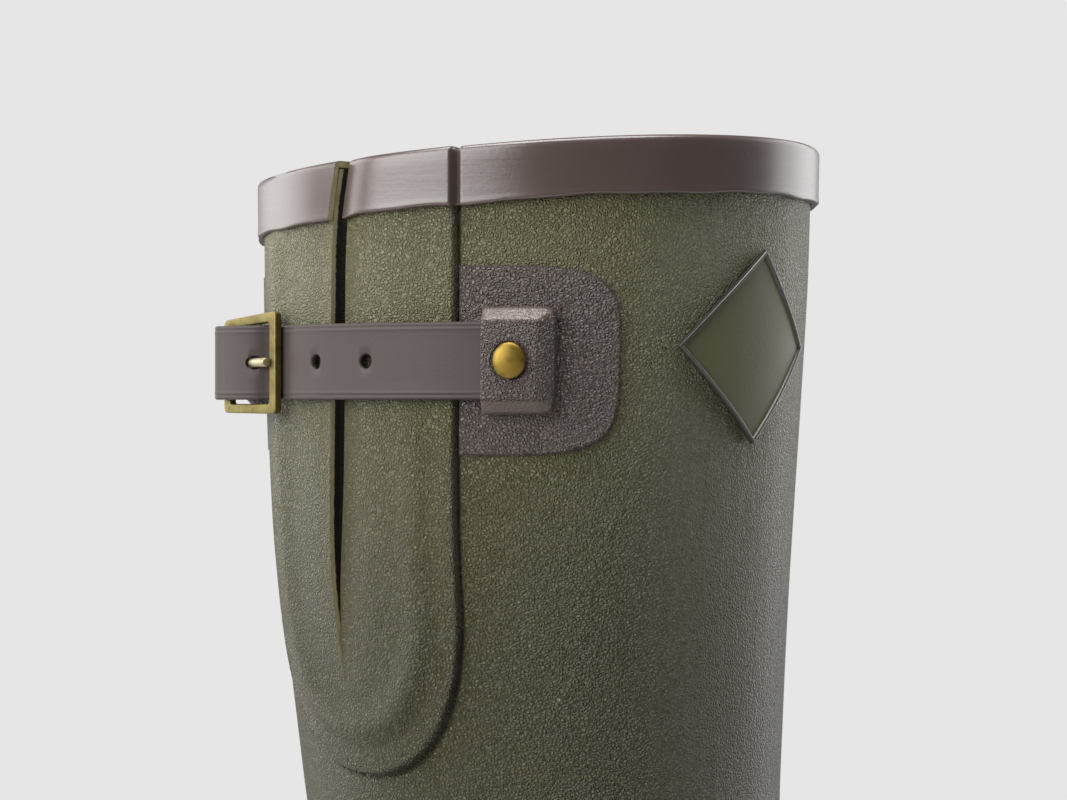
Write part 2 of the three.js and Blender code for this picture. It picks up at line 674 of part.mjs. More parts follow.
const barOffset = BUCKLE_LENGTH / 2 - BUCKLE_BAR / 2;
const barTop = BUCKLE_THICKNESS / 2;
const loopTop = barTop + CLEARANCE + TAB_THICKNESS;
const overBar = loopTop + CLEARANCE + STRAP_THICKNESS / 2;
const underBar = -barTop - CLEARANCE - STRAP_THICKNESS / 2;

// Middle line of the strap seen from above, chosen by hand: round the panel, under the front bar,
// over the hinge bar and down over the rear keeper.
const strapRoute = new THREE.CatmullRomCurve3([
  onShaft(frontPatch.edge - frontPatch.mouth - 9, strapStand),
  onShaft(frontPatch.edge - frontPatch.mouth - 4, strapStand),
  ...spread(frontPatch.edge, BUCKLE_ANGLE - STRAP_LEAVE_ANGLE, 6).map((angle) => onShaft(angle, strapStand)),
  fromBuckle(-barOffset - 0.6, underBar - 0.3),
  fromBuckle(-barOffset + 1.5, underBar),
  fromBuckle(-barOffset + 3.7, underBar + 1.5),
  fromBuckle(-2.9, underBar + 3.7),
  fromBuckle(0.2, overBar - 0.5),
  fromBuckle(barOffset - 4, overBar),
  fromBuckle(barOffset - 1.4, overBar + 0.1),
  fromBuckle(barOffset + 0.9, overBar + 0.1),
  fromBuckle(barOffset + 3, overBar - 0.5),
  fromBuckle(barOffset + 4.1, overBar - 2.8),
  onShaft(rearPatch.edge + rearPatch.mouth + 5, rearPatch.top + CLEARANCE + STRAP_THICKNESS / 2 + 0.6),
  onShaft(rearPatch.edge + rearPatch.far, rearPatch.top + CLEARANCE + STRAP_THICKNESS / 2 + 0.2),
  onShaft(rearPatch.edge + rearPatch.far + 8, rearPatch.top - 0.6),
], false, 'centripetal');
const strapTip = STRAP_WIDTH * STRAP_TIP_SHARE;

function strapNormal(share) {
  const tangent = strapRoute.getTangentAt(share);
  return new THREE.Vector3(-tangent.y, tangent.x, 0).normalize();
}

// Share of the route whose point lies nearest to a place.
function nearestShare(place) {
  let best = 0;
  for (const share of spread(0, 1, 600)) {
    const here = strapRoute.getPointAt(share).distanceTo(place);
    if (here < strapRoute.getPointAt(best).distanceTo(place)) best = share;
  }
  return best;
}

function makeStrap() {
  const length = strapRoute.getLength();
  const halfWidthAt = (share) => {
    const left = Math.max(strapTip - (1 - share) * length, 0) / strapTip;
    return (STRAP_WIDTH / 2) * Math.sqrt(Math.max(1 - left ** 2 * 0.96, 0.04));
  };
  const face = (side) => (u, v) => {
    const out = strapNormal(u).multiplyScalar((side * STRAP_THICKNESS) / 2);
    const point = strapRoute.getPointAt(u).add(out);
    return point.setZ(strapHeight + v * halfWidthAt(u));
  };
  const steps = Math.round(STRAP_COUNT / 2);
  const shares = [
    ...spread(0, STRAP_BEND_SHARE, steps - 4),
    ...spread(STRAP_BEND_SHARE, 0.94, steps).slice(1),
    0.955, 0.97, 0.98, 0.99, 0.996, 1,
  ];
  let strap = plate(shares, [-1, 0, 1], face(1), face(-1));
  const punch = (share, widen) => {
    const radius = HOLE_DIAMETER / 2;
    const hole = new THREE.CylinderGeometry(radius, radius, 3 * STRAP_THICKNESS, 10);
    hole.scale(widen, 1, 1);
    const out = strapNormal(share);
    const along = strapRoute.getTangentAt(share);
    const place = new THREE.Matrix4().makeBasis(along, out, along.clone().cross(out));
    hole.applyMatrix4(place.setPosition(strapRoute.getPointAt(share)));
    strap = strap.subtract(solidOf(hole));
  };
  for (const index of [0, 1]) {
    punch(nearestShare(onShaft(FIRST_HOLE_ANGLE + index * HOLE_PITCH_ANGLE, strapStand)), 1);
  }
  punch(nearestShare(fromBuckle(-PRONG_HOLE_SETBACK, underBar + 3.6)), PRONG_HOLE_STRETCH);
  return strap;
}

function roundedRectangle(target, width, height, radius) {
  const x = width / 2;
  const y = height / 2;
  target.moveTo(radius - x, -y);
  target.lineTo(x - radius, -y);
  target.absarc(x - radius, radius - y, radius, -Math.PI / 2, 0);
  target.lineTo(x, y - radius);
  target.absarc(x - radius, y - radius, radius, 0, Math.PI / 2);
  target.lineTo(radius - x, y);
  target.absarc(radius - x, y - radius, radius, Math.PI / 2, Math.PI);
  target.lineTo(-x, radius - y);
  target.absarc(radius - x, radius - y, radius, Math.PI, Math.PI * 1.5);
  return target;
}

function makeBuckleFrame() {
  const outline = roundedRectangle(new THREE.Shape(), BUCKLE_LENGTH - 0.6, BUCKLE_HEIGHT - 0.6, 0.9);
  const window = roundedRectangle(
    new THREE.Path(),
    BUCKLE_LENGTH - 2 * BUCKLE_BAR + 0.6,
    BUCKLE_HEIGHT - 2 * BUCKLE_BAR + 0.6,
    0.5,
  );
  outline.holes.push(window);
  const frame = new THREE.ExtrudeGeometry(outline, {
    depth: BUCKLE_THICKNESS - 0.6,
    bevelThickness: 0.3,
    bevelSize: 0.3,
    bevelSegments: 1,
    curveSegments: 2,
  });
  frame.translate(0, 0, 0.3 - BUCKLE_THICKNESS / 2);
  return solidOf(frame.applyMatrix4(buckleFrame));
}

// Loop round the hinge bar, as a profile in the buckle's x and z extruded over a height.
function barLoop(thickness, height) {
  const shape = new THREE.Shape();
  roundedRectangle(
    shape,
    BUCKLE_BAR + 2 * (CLEARANCE + thickness),
    BUCKLE_THICKNESS + 2 * (CLEARANCE + thickness),
    thickness,
  );
  const inside = new THREE.Path();
  roundedRectangle(inside, BUCKLE_BAR + 2 * CLEARANCE, BUCKLE_THICKNESS + 2 * CLEARANCE, 0.3);
  shape.holes.push(inside);
  const loop = new THREE.ExtrudeGeometry(shape, { depth: height, bevelEnabled: false, curveSegments: 2 });
  loop.translate(0, 0, -height / 2).rotateX(-Math.PI / 2).translate(barOffset, 0, 0);
  return solidOf(loop.applyMatrix4(buckleFrame));
}

function makeBuckleProng() {
  const radius = PRONG_DIAMETER / 2;
  const start = barOffset - BUCKLE_BAR / 2 - CLEARANCE - TAB_THICKNESS / 2;
  const arm = new THREE.LineCurve3(
    new THREE.Vector3(start, 0, 0),
    new THREE.Vector3(-barOffset + BUCKLE_BAR / 2 - PRONG_LAP, 0, barTop + CLEARANCE + radius),
  );
  const round = new THREE.Shape().absarc(0, 0, radius, 0, 2 * Math.PI);
  const rod = new THREE.ExtrudeGeometry(round, { steps: 1, extrudePath: arm, curveSegments: 12 });
  return barLoop(TAB_THICKNESS, PRONG_EYE_WIDTH).add(solidOf(rod.applyMatrix4(buckleFrame)));
}

// Tab from the rear keeper's pocket to a split loop round the hinge bar.
function makeBuckleTab() {
  const back = barOffset + BUCKLE_BAR / 2 + CLEARANCE + TAB_THICKNESS / 2;
  const route = new THREE.CatmullRomCurve3([
    fromBuckle(back, -0.6),
    fromBuckle(back + 0.9, -3.2),
    onShaft(rearPatch.edge + rearPatch.mouth - 2.6, strapStand + 0.7),
    onShaft(rearPatch.edge + rearPatch.mouth - 0.6, strapStand),
    onShaft(rearPatch.edge + rearPatch.mouth + 3, strapStand),
    onShaft(rearPatch.edge + rearPatch.mouth + 7, strapStand),
  ], false, 'centripetal');
  const face = (side) => (u, v) => {
    const tangent = route.getTangentAt(u);
    const out = new THREE.Vector3(-tangent.y, tangent.x, 0).normalize();
    return route.getPointAt(u).addScaledVector(out, (side * TAB_THICKNESS) / 2)
      .setZ(strapHeight + (v * TAB_WIDTH) / 2);
  };
  const sheet = plate(spread(0, 1, 12), [-1, 1], face(1), face(-1));
  const slot = new THREE.BoxGeometry(TAB_SLOT, PRONG_EYE_WIDTH + 2 * CLEARANCE, TAB_SLOT);
  slot.translate(barOffset - BUCKLE_BAR / 2, 0, 0);
  return sheet.add(barLoop(TAB_THICKNESS, TAB_WIDTH)).subtract(solidOf(slot.applyMatrix4(buckleFrame)));
}

// Domed rivet with a short shank in a blind hole of the front keeper.
const rivetAngle = frontPatch.edge - frontPatch.mouth - KEEPER_SPAN_ANGLE / 2 + 0.6;
const rivetFrame = new THREE.Matrix4();
{
  const centre = shaftPoint(rivetAngle, strapHeight, frontPatch.top);
  const out = skinNormal(ringAtHeight(rivetAngle, strapHeight), rivetAngle).setZ(0).normalize();
  const up = new THREE.Vector3(0, 0, 1);
  rivetFrame.makeBasis(up, out, up.clone().cross(out)).setPosition(centre);
}

function makeRivet() {
  const radius = RIVET_DIAMETER / 2;
  const profile = [
    new THREE.Vector2(0, -RIVET_SINK), new THREE.Vector2(RIVET_SHANK / 2, -RIVET_SINK),
    new THREE.Vector2(RIVET_SHANK / 2, CLEARANCE), new THREE.Vector2(radius - RIVET_EDGE, CLEARANCE),
    new THREE.Vector2(radius, CLEARANCE + RIVET_EDGE),
    ...[20, 40, 60, 75].map((turn) => new THREE.Vector2(
      radius * Math.cos(turn * RADIANS),
      CLEARANCE + RIVET_EDGE + (RIVET_DOME - RIVET_EDGE) * Math.sin(turn * RADIANS),
    )),
    new THREE.Vector2(0, CLEARANCE + RIVET_DOME),
  ];
  return solidOf(new THREE.LatheGeometry(profile, 16).applyMatrix4(rivetFrame));
}

function drillRivetHole(solid) {
  const radius = RIVET_SHANK / 2 + CLEARANCE;
  const depth = RIVET_SINK + CLEARANCE;
  const hole = new THREE.CylinderGeometry(radius, radius, depth + 2, 12);
  hole.translate(0, 1 - depth / 2, 0);
  return solid.subtract(solidOf(hole.applyMatrix4(rivetFrame)));
}

// Diamond plate with a raised rim: p and q run along its two pairs of sides.
function makeBadge() {
  const [inner, rim] = BADGE_RIM_SHARES;
  const lines = [-1, -rim, -inner, -0.42, 0, 0.42, inner, rim, 1];
  const place = (p, q, stand) => shaftPoint(
    BADGE_ANGLE + ((p - q) / 2) * BADGE_HALF_ANGLE,
    BOOT_HEIGHT - BADGE_DROP + ((p + q) / 2) * BADGE_HALF_HEIGHT,
    stand,
  );
  const face = (p, q) => {
    const out = Math.max(Math.abs(p), Math.abs(q));
    const stand = out > 0.95 ? BADGE_FIELD : out > 0.87 ? BADGE_RIM : BADGE_FIELD;
    return place(p, q, stand + CLEARANCE);
  };
  return plate(lines, lines, face, (p, q) => place(p, q, CLEARANCE));
}

const olive = { color: 0x52503d, roughness: 0.55, metalness: 0 };
const taupe = { color: 0x6a5f5d, roughness: 0.45, metalness: 0 };
const brass = { color: 0x9a8045, roughness: 0.35, metalness: 1 };
const group = new THREE.Group();
const add = (name, solid, look) => {
  group.add(meshOf(name, solid, new THREE.MeshStandardMaterial(look)));
};
add('upper', makeUpper(), olive);
add('collar_band', makeCollarBand(), taupe);
add('outsole', makeOutsole(), { color: 0x4d4543, roughness: 0.7, metalness: 0 });
add('insole', makeInsole(), { color: 0x8a8578, roughness: 0.9, metalness: 0 });
add('front_patch', drillRivetHole(frontPatch.solid), taupe);
add('rear_patch', rearPatch.solid, taupe);
add('strap', makeStrap(), taupe);
add('buckle_tab', makeBuckleTab(), taupe);
add('buckle_frame', makeBuckleFrame(), brass);
add('buckle_prong', makeBuckleProng(), brass);
add('rivet', makeRivet(), brass);
add('badge', makeBadge(), { color: 0x45433a, roughness: 0.5, metalness: 0 });

const box = new THREE.Box3().setFromObject(group);
const centre = box.getCenter(new THREE.Vector3());
group.position.set(-centre.x, -centre.y, -box.min.z);

export default group;
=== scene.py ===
import math

import bmesh
import bpy
import numpy as np
from mathutils import Matrix, Vector


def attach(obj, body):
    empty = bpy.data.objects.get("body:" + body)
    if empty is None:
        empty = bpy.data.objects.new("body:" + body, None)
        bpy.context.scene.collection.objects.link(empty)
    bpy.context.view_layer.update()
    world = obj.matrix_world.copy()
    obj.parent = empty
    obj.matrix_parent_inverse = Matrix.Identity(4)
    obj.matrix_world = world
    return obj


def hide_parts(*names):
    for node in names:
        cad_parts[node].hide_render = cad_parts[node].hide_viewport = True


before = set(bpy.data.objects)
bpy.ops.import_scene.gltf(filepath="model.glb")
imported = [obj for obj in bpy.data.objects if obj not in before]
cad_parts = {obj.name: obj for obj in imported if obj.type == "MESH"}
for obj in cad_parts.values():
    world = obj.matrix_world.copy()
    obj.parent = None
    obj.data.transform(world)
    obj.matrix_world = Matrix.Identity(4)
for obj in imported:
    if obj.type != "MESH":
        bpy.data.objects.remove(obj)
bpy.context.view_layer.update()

# Boot shell
# One hollow shell of olive natural rubber, moulded on the last about 3 mm thick, foot and shaft in one.
# The gusset panel on the outer side is a raised step of the same sheet, and a knife-cut slit runs down it
# from the collar. A knitted lining is bonded to the inside.
MM = 0.001
ROW_SHIFT = np.array([-138.005, 0.894, 0.0])
FOOT_LENGTH = 288
BALL_HALF_WIDTH = 49
HEEL_SEAT = 30
ANKLE_HEIGHT = 150
BOOT_HEIGHT = 402
COLLAR_DROP = 10
CALF_HALF_DEPTH = 69
CALF_HALF_WIDTH = 65
CALF_CENTRE = 54
TOE_SWING = 8.5
SWING_CROSSING = 0.63
ARCH_HOLLOW = 5
ARCH_SPAN = 0.16
ARCH_RISE = 11
TOE_SPRING = 10.5
HEEL_BLUNT = 0.5
WALL = 3
GAP = 0.3
WIDTH_STATIONS = [0, 0.16, 0.46, 0.72, 1]
ARC = math.radians(CALF_HALF_WIDTH)

PANEL_ANGLE = 105.5
PANEL_HALF_ANGLE = 30
PANEL_LEAN = 3.5
PANEL_FOOT = BOOT_HEIGHT - 150.5
PANEL_ROUND = 42
PANEL_RISE = 1.8
TROUGH_INSET = 6.6
FOLD_INSET = 11.5
RELIEF_FROM = 200
SLIT_END_ANGLE = 106.3
SLIT_DROP = 127
SLIT_WIDTH = 2.4
FLAP_SINK = 2.4

# Sole line: share of the foot's length, top of the seat, rise of the arch and spring of the toe.
SOLE_LINE = np.array([
    (-0.03, 1.000, 0.00, 0.10),
    (0.03, 1.000, 0.00, 0.00),
    (0.25, 0.985, 0.00, 0.00),
    (0.27, 0.970, 1.00, 0.00),
    (0.42, 0.815, 0.95, 0.00),
    (0.56, 0.655, 0.10, 0.00),
    (0.60, 0.615, 0.00, 0.00),
    (0.80, 0.580, 0.00, 0.00),
    (0.90, 0.665, 0.00, 0.30),
    (1.00, 0.880, 0.00, 1.00),
    (1.03, 0.940, 0.00, 1.25),
])

# Line of the slit: height and angle.
SLIT_LINE = np.array([
    (275, SLIT_END_ANGLE),
    (283, 107.0),
    (293, 107.0),
    (307, 106.2),
    (323, 105.0),
    (340, 104.0),
    (359, 103.2),
    (373, 102.8),
    (384, 102.0),
    (395, 100.2),
    (402, 99.4),
])

# Foot sections from seat to ankle: up, back, front, heel, waist, ball, blunt, follow.
FOOT_SECTIONS = [
    (0.00, 0.012, 1.000, 0.80, 0.69, 1.01, 2.70, 1.00),
    (0.12, 0.002, 1.009, 0.84, 0.75, 1.05, 2.70, 0.95),
    (0.24, 0.000, 0.986, 0.85, 0.78, 1.02, 2.60, 0.70),
    (0.34, 0.004, 0.932, 0.86, 0.78, 0.96, 2.45, 0.35),
    (0.44, 0.010, 0.850, 0.85, 0.78, 0.89, 2.35, 0.15),
    (0.55, 0.018, 0.752, 0.84, 0.79, 0.82, 2.30, 0.00),
    (0.66, 0.025, 0.663, 0.85, 0.82, 0.80, 2.25, 0.00),
    (0.78, 0.030, 0.584, 0.86, 0.86, 0.80, 2.20, 0.00),
    (0.89, 0.032, 0.527, 0.87, 0.90, 0.83, 2.10, 0.00),
    (1.00, 0.031, 0.485, 0.89, 0.94, 0.87, 2.10, 0.00),
]

# Shaft sections from ankle to collar: up, back, front, wide, blunt.
SHAFT_SECTIONS = [
    (0.06, 0.660, 1.105, 0.725, 2.05),
    (0.14, 0.690, 0.990, 0.760, 2.00),
    (0.24, 0.745, 0.925, 0.805, 2.00),
    (0.35, 0.826, 0.899, 0.854, 2.00),
    (0.45, 0.873, 0.909, 0.891, 2.00),
    (0.55, 0.917, 0.924, 0.923, 2.00),
    (0.65, 0.954, 0.945, 0.954, 2.00),
    (0.75, 0.974, 0.971, 0.969, 2.00),
    (0.89, 0.984, 1.000, 0.992, 2.00),
    (1.00, 0.988, 1.010, 1.000, 2.00),
]


def smooth(xs, ys, at):
    """Smooth curve through samples that never overshoots them; a sample may be an array as long as at."""
    xs = np.asarray(xs, float)
    at = np.clip(np.atleast_1d(at).astype(float), xs[0], xs[-1])
    ys = np.array([np.broadcast_to(y, at.shape) for y in ys], float)
    slopes = np.diff(ys, axis=0) / np.diff(xs)[:, None]
    product = slopes[:-1] * slopes[1:]
    total = np.where(product > 0, slopes[:-1] + slopes[1:], 1)
    inner = np.where(product > 0, 2 * product / total, 0)
    tangents = np.concatenate([slopes[:1], inner, slopes[-1:]])
    i = np.clip(np.searchsorted(xs, at) - 1, 0, len(xs) - 2)
    here = np.arange(at.size)
    h = xs[i + 1] - xs[i]
    t = (at - xs[i]) / h
    s = 1 - t
    start = ys[i, here] * (1 + 2 * t) * s * s + tangents[i, here] * h * t * s * s
    return start + ys[i + 1, here] * t * t * (3 - 2 * t) - tangents[i + 1, here] * h * t * t * s


def seat_height(x):
    return smooth(SOLE_LINE[:, 0] * FOOT_LENGTH, SOLE_LINE[:, 1] * HEEL_SEAT, x)


def ground_height(x):
    lift = SOLE_LINE[:, 2] * ARCH_RISE + SOLE_LINE[:, 3] * TOE_SPRING
    return smooth(SOLE_LINE[:, 0] * FOOT_LENGTH, lift, x)


def last_columns():
    """Each measure of the last's sections, from the sole to the collar, in millimetres."""
    rows = []
    for up, back, front, heel, waist, ball, blunt, follow in FOOT_SECTIONS:
        height = HEEL_SEAT + up * (ANKLE_HEIGHT - HEEL_SEAT)
        ends = (height, height, back * FOOT_LENGTH, front * FOOT_LENGTH)
        widths = (heel * BALL_HALF_WIDTH, waist * BALL_HALF_WIDTH, ball * BALL_HALF_WIDTH)
        rows.append(ends + widths + (blunt, follow, (1 - up) ** 1.5))
    for up, back, front, wide, blunt in SHAFT_SECTIONS:
        low = ANKLE_HEIGHT + up * (BOOT_HEIGHT - COLLAR_DROP - ANKLE_HEIGHT)
        high = ANKLE_HEIGHT + up * (BOOT_HEIGHT - ANKLE_HEIGHT)
        ends = (low, high, CALF_CENTRE - back * CALF_HALF_DEPTH, CALF_CENTRE + front * CALF_HALF_DEPTH)
        rows.append(ends + (wide * CALF_HALF_WIDTH,) * 3 + (blunt, 0, 0))
    return np.array(rows, float)


last_table = last_columns()
TOP_RING = len(last_table) - 1
ring_steps = np.linspace(0, TOP_RING, 100 * TOP_RING + 1)
dense_table = [smooth(range(TOP_RING + 1), column, ring_steps) for column in last_table.T]


def last_point(ring, angle):
    """Points of the outer skin, in millimetres; the angle runs from the front to the outer side."""
    ring, angle = np.broadcast_arrays(np.atleast_1d(ring).astype(float), np.atleast_1d(angle))
    measures = [np.interp(ring, ring_steps, column) for column in dense_table]
    low, high, back, front, heel, waist, ball, blunt, follow, swing = measures
    cos = np.cos(np.radians(angle))
    sin = np.sin(np.radians(angle))
    power = 2 / (blunt + np.where(cos < 0, HEEL_BLUNT * swing, 0))
    share = (1 + np.sign(cos) * np.abs(cos) ** power) / 2
    x = back + (front - back) * share
    side = np.sign(sin) * np.abs(sin) ** power
    arch = np.exp(-(((share - WIDTH_STATIONS[2]) / ARCH_SPAN) ** 2))
    inward = np.where(side < 0, ARCH_HOLLOW * swing * arch, 0)
    bend = TOE_SWING * swing * share * (share - SWING_CROSSING) / (1 - SWING_CROSSING)
    y = bend - (smooth(WIDTH_STATIONS, [heel, heel, waist, ball, ball], share) - inward) * side
    z = low + (high - low) * share + follow * (seat_height(x) - HEEL_SEAT)
    return np.stack([x, y, z], axis=-1)


def unit(vectors):
    return vectors / np.linalg.norm(vectors, axis=-1, keepdims=True)


def last_normal(ring, angle):
    ring = np.atleast_1d(ring)
    above = last_point(np.minimum(ring + 0.02, TOP_RING), angle)
    rise = above - last_point(np.maximum(ring - 0.02, 0), angle)
    around = last_point(ring, np.asarray(angle) + 0.5) - last_point(ring, np.asarray(angle) - 0.5)
    return unit(-np.cross(around, rise))


def level_normal(ring, angle):
    return unit(last_normal(ring, angle) * (1, 1, 0))


def ring_at(angle, height):
    angle, height = np.broadcast_arrays(np.atleast_1d(angle).astype(float), height)
    low = np.zeros(angle.shape)
    high = np.full(angle.shape, float(TOP_RING))
    for _ in range(26):
        middle = (low + high) / 2
        below = last_point(middle, angle)[:, 2] < height
        low = np.where(below, middle, low)
        high = np.where(below, high, middle)
    return (low + high) / 2


def rim_height(angle):
    return last_point(TOP_RING, angle)[:, 2]


def shaft_point(angle, height, stand):
    """Points beside the shaft at a height, standing off its skin."""
    angle, height, stand = np.broadcast_arrays(np.atleast_1d(angle).astype(float), height, stand)
    ring = ring_at(angle, height)
    points = last_point(ring, angle) + level_normal(ring, angle) * stand[:, None]
    points[:, 2] = height
    return points


def ease(value):
    """Soft step from 0 to 1."""
    value = np.clip(value, 0, 1)
    return value * value * (3 - 2 * value)


def bump_of(value, centre, width):
    return np.exp(-(((value - centre) / width) ** 2))


def inset_from(across, up, half_across, half_up, squareness):
    """Distance inside a squared oval outline, from places given as shares of its half sizes."""
    across = np.maximum(np.abs(across), 1e-6)
    up = np.maximum(np.abs(up), 1e-6)
    reach = (across ** squareness + up ** squareness) ** (1 / squareness)
    grade_across = (across / reach) ** (squareness - 1) / half_across
    grade_up = (up / reach) ** (squareness - 1) / half_up
    return (1 - reach) / np.hypot(grade_across, grade_up)


def panel_inset(angle, height):
    below = np.maximum(PANEL_FOOT + PANEL_ROUND - height, 0) / PANEL_ROUND
    across = (angle - PANEL_ANGLE + PANEL_LEAN * below ** 2) / PANEL_HALF_ANGLE
    return inset_from(across, below, PANEL_HALF_ANGLE * ARC, PANEL_ROUND, 2.2)


def slit_angle(height):
    return smooth(SLIT_LINE[:, 0], SLIT_LINE[:, 1], height)


def slit_half_angle(height):
    above = np.clip((height - BOOT_HEIGHT + SLIT_DROP) / 45, 0, 1)
    return SLIT_WIDTH / 2 / ARC * above ** 0.8


def flap_sink(angle, height):
    """How far the front flap has sunk behind the rear one beside the slit."""
    away = (slit_angle(height) - angle) * ARC
    above = ease((height - BOOT_HEIGHT + SLIT_DROP + 4) / 42)
    return np.where(away > -0.5, FLAP_SINK * above * np.exp(-(np.maximum(away, 0) / 5.5) ** 1.6), 0)


def panel_relief(angle, height):
    """Height of the moulded panel over the shaft: its rounded edge, flat border, trough and folds."""
    inset = panel_inset(angle, height)
    edge = np.clip(inset / 1.0, 0, 1)
    relief = PANEL_RISE * np.sqrt(1 - (1 - edge) ** 2)
    relief = relief - 0.75 * bump_of(inset, -0.4, 0.5)
    behind = ease((angle - 100) / 22)
    foot = ease((PANEL_FOOT + 55 - height) / 40)
    fold = np.maximum(behind, foot * 0.85) * (1 - 0.85 * ease((height - rim_height(angle) + 17) / 4))
    low = ease((BOOT_HEIGHT - 42 - height) / 45)
    relief = relief - (0.1 + 0.55 * low) * bump_of(inset, TROUGH_INSET, 2.2) * ease(inset / 3)
    relief = relief + 1.5 * fold * bump_of(inset, FOLD_INSET, 4.6) * ease(inset / 4)
    relief = relief + 0.3 * foot * bump_of(inset, 1.3, 0.7) * ease((angle - 96) / 12)
    relief = relief - 0.7 * low * ease((inset - 9) / 9) * (1 - 0.6 * behind)
    return relief - flap_sink(angle, height)


def spaced(share, knots):
    return np.interp(share, np.linspace(0, 1, len(knots)), knots)


def joined(*spans):
    """Knots from (start, end, steps) spans laid end to end."""
    knots = [np.linspace(start, end, steps, endpoint=False) for start, end, steps in spans]
    return np.concatenate(knots + [[spans[-1][1]]])


def add_sheet(mesh, columns, rows, place):
    """Adds a grid whose vertices go where place puts their shares across and up."""
    made = bmesh.ops.create_grid(mesh, x_segments=columns, y_segments=rows, size=0.5)["verts"]
    shares = np.array([vert.co[:2] for vert in made]) + 0.5
    points = (place(shares[:, 0], shares[:, 1]) + ROW_SHIFT) * MM
    for vert, point in zip(made, points):
        vert.co = point
    return shares


def join_sheets(mesh, dist=0.00002):
    bmesh.ops.remove_doubles(mesh, verts=mesh.verts, dist=dist)
    bmesh.ops.recalc_face_normals(mesh, faces=mesh.faces)


def turn_outward(mesh):
    """Closes seams and turns an open sheet's faces away from the middle of the shaft."""
    join_sheets(mesh)
    middle = Vector(((CALF_CENTRE + ROW_SHIFT[0]) * MM, ROW_SHIFT[1] * MM, 0))
    outward = 0
    for face in mesh.faces:
        away = face.calc_center_median() - middle
        away.z = 0
        outward += face.normal.dot(away.normalized()) * face.calc_area()
    if outward < 0:
        bmesh.ops.reverse_faces(mesh, faces=mesh.faces)


def mark(mesh, name, values):
    """Gives each vertex a value that the materials read."""
    layer = mesh.verts.layers.float.new(name)
    for vert, value in zip(mesh.verts, values):
        vert[layer] = float(value)
    return layer


def link(thing):
    bpy.context.scene.collection.objects.link(thing)


def mesh_data(name, mesh):
    data = bpy.data.meshes.new(name)
    mesh.to_mesh(data)
    mesh.free()
    return data


def make_piece(name, mesh, finishes, node, sharp=38):
    """Makes the finished piece, which stands for a node of the frame."""
    data = mesh_data(name, mesh)
    for finish in finishes:
        data.materials.append(finish.material)
    data.shade_smooth()
    data.set_sharp_from_angle(angle=math.radians(sharp))
    piece = bpy.data.objects.new(name, data)
    link(piece)
    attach(piece, "root")
    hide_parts(node)
    return piece


class Signal:
    """A node's output, with arithmetic that adds Math nodes."""

    def __init__(self, finish, socket):
        self.finish = finish
        self.socket = socket

    def math(self, operation, first, second):
        return self.finish.node("ShaderNodeMath", {"operation": operation}, {0: first, 1: second})

    def __add__(self, other):
        return self.math("ADD", self, other)

    def __radd__(self, other):
        return self.math("ADD", other, self)

    def __sub__(self, other):
        return self.math("SUBTRACT", self, other)

    def __rsub__(self, other):
        return self.math("SUBTRACT", other, self)

    def __mul__(self, other):
        return self.math("MULTIPLY", self, other)

    def __rmul__(self, other):
        return self.math("MULTIPLY", other, self)


class Finish:
    """A material, or the studio's surround, with its shader and the object's own coordinates."""

    def __init__(self, name, holder=bpy.data.materials, shader="Principled BSDF"):
        self.material = holder.new(name)
        self.material.use_nodes = True
        self.tree = self.material.node_tree
        self.shader = self.tree.nodes[shader]
        self.place = self.node("ShaderNodeTexCoord", {}, {}, "Object")

    def node(self, kind, settings, sockets, output=0):
        node = self.tree.nodes.new(kind)
        for key, value in settings.items():
            setattr(node, key, value)
        for key, value in sockets.items():
            self.feed(node.inputs[key], value)
        return Signal(self, node.outputs[output])

    def feed(self, socket, value):
        if isinstance(value, Signal):
            self.tree.links.new(value.socket, socket)
        else:
            socket.default_value = value

    def shade(self, sockets):
        for key, value in sockets.items():
            self.feed(self.shader.inputs[key], value)

    def surface(self, tone, roughness, shine, relief, depth):
        """Colour, roughness and shine, with a relief so many metres deep."""
        bump = self.node("ShaderNodeBump", {}, {"Strength": 1.0, "Distance": depth, "Height": relief})
        self.shade({"Base Color": tone, "Roughness": roughness, "Specular IOR Level": shine, "Normal": bump})


def colour(red, green, blue):
    """Shader colour from the 0 to 255 values of a paint chip."""
    chip = [value / 255 for value in (red, green, blue)]
    return tuple(c / 12.92 if c <= 0.04045 else ((c + 0.055) / 1.055) ** 2.4 for c in chip) + (1.0,)


def noise(finish, scale, detail=2.0):
    return finish.node("ShaderNodeTexNoise", {}, {"Vector": finish.place, "Scale": scale, "Detail": detail})


def attribute(finish, name):
    return finish.node("ShaderNodeAttribute", {"attribute_name": name}, {}, "Fac")


def height_of(finish):
    return finish.node("ShaderNodeSeparateXYZ", {}, {0: finish.place}, 2)


def soft_range(finish, value, low, high, start=0.0, end=1.0):
    """Soft ramp from start to end while the value goes from low to high."""
    return finish.node(
        "ShaderNodeMapRange",
        {"interpolation_type": "SMOOTHSTEP"},
        {"Value": value, "From Min": low, "From Max": high, "To Min": start, "To Max": end},
    )


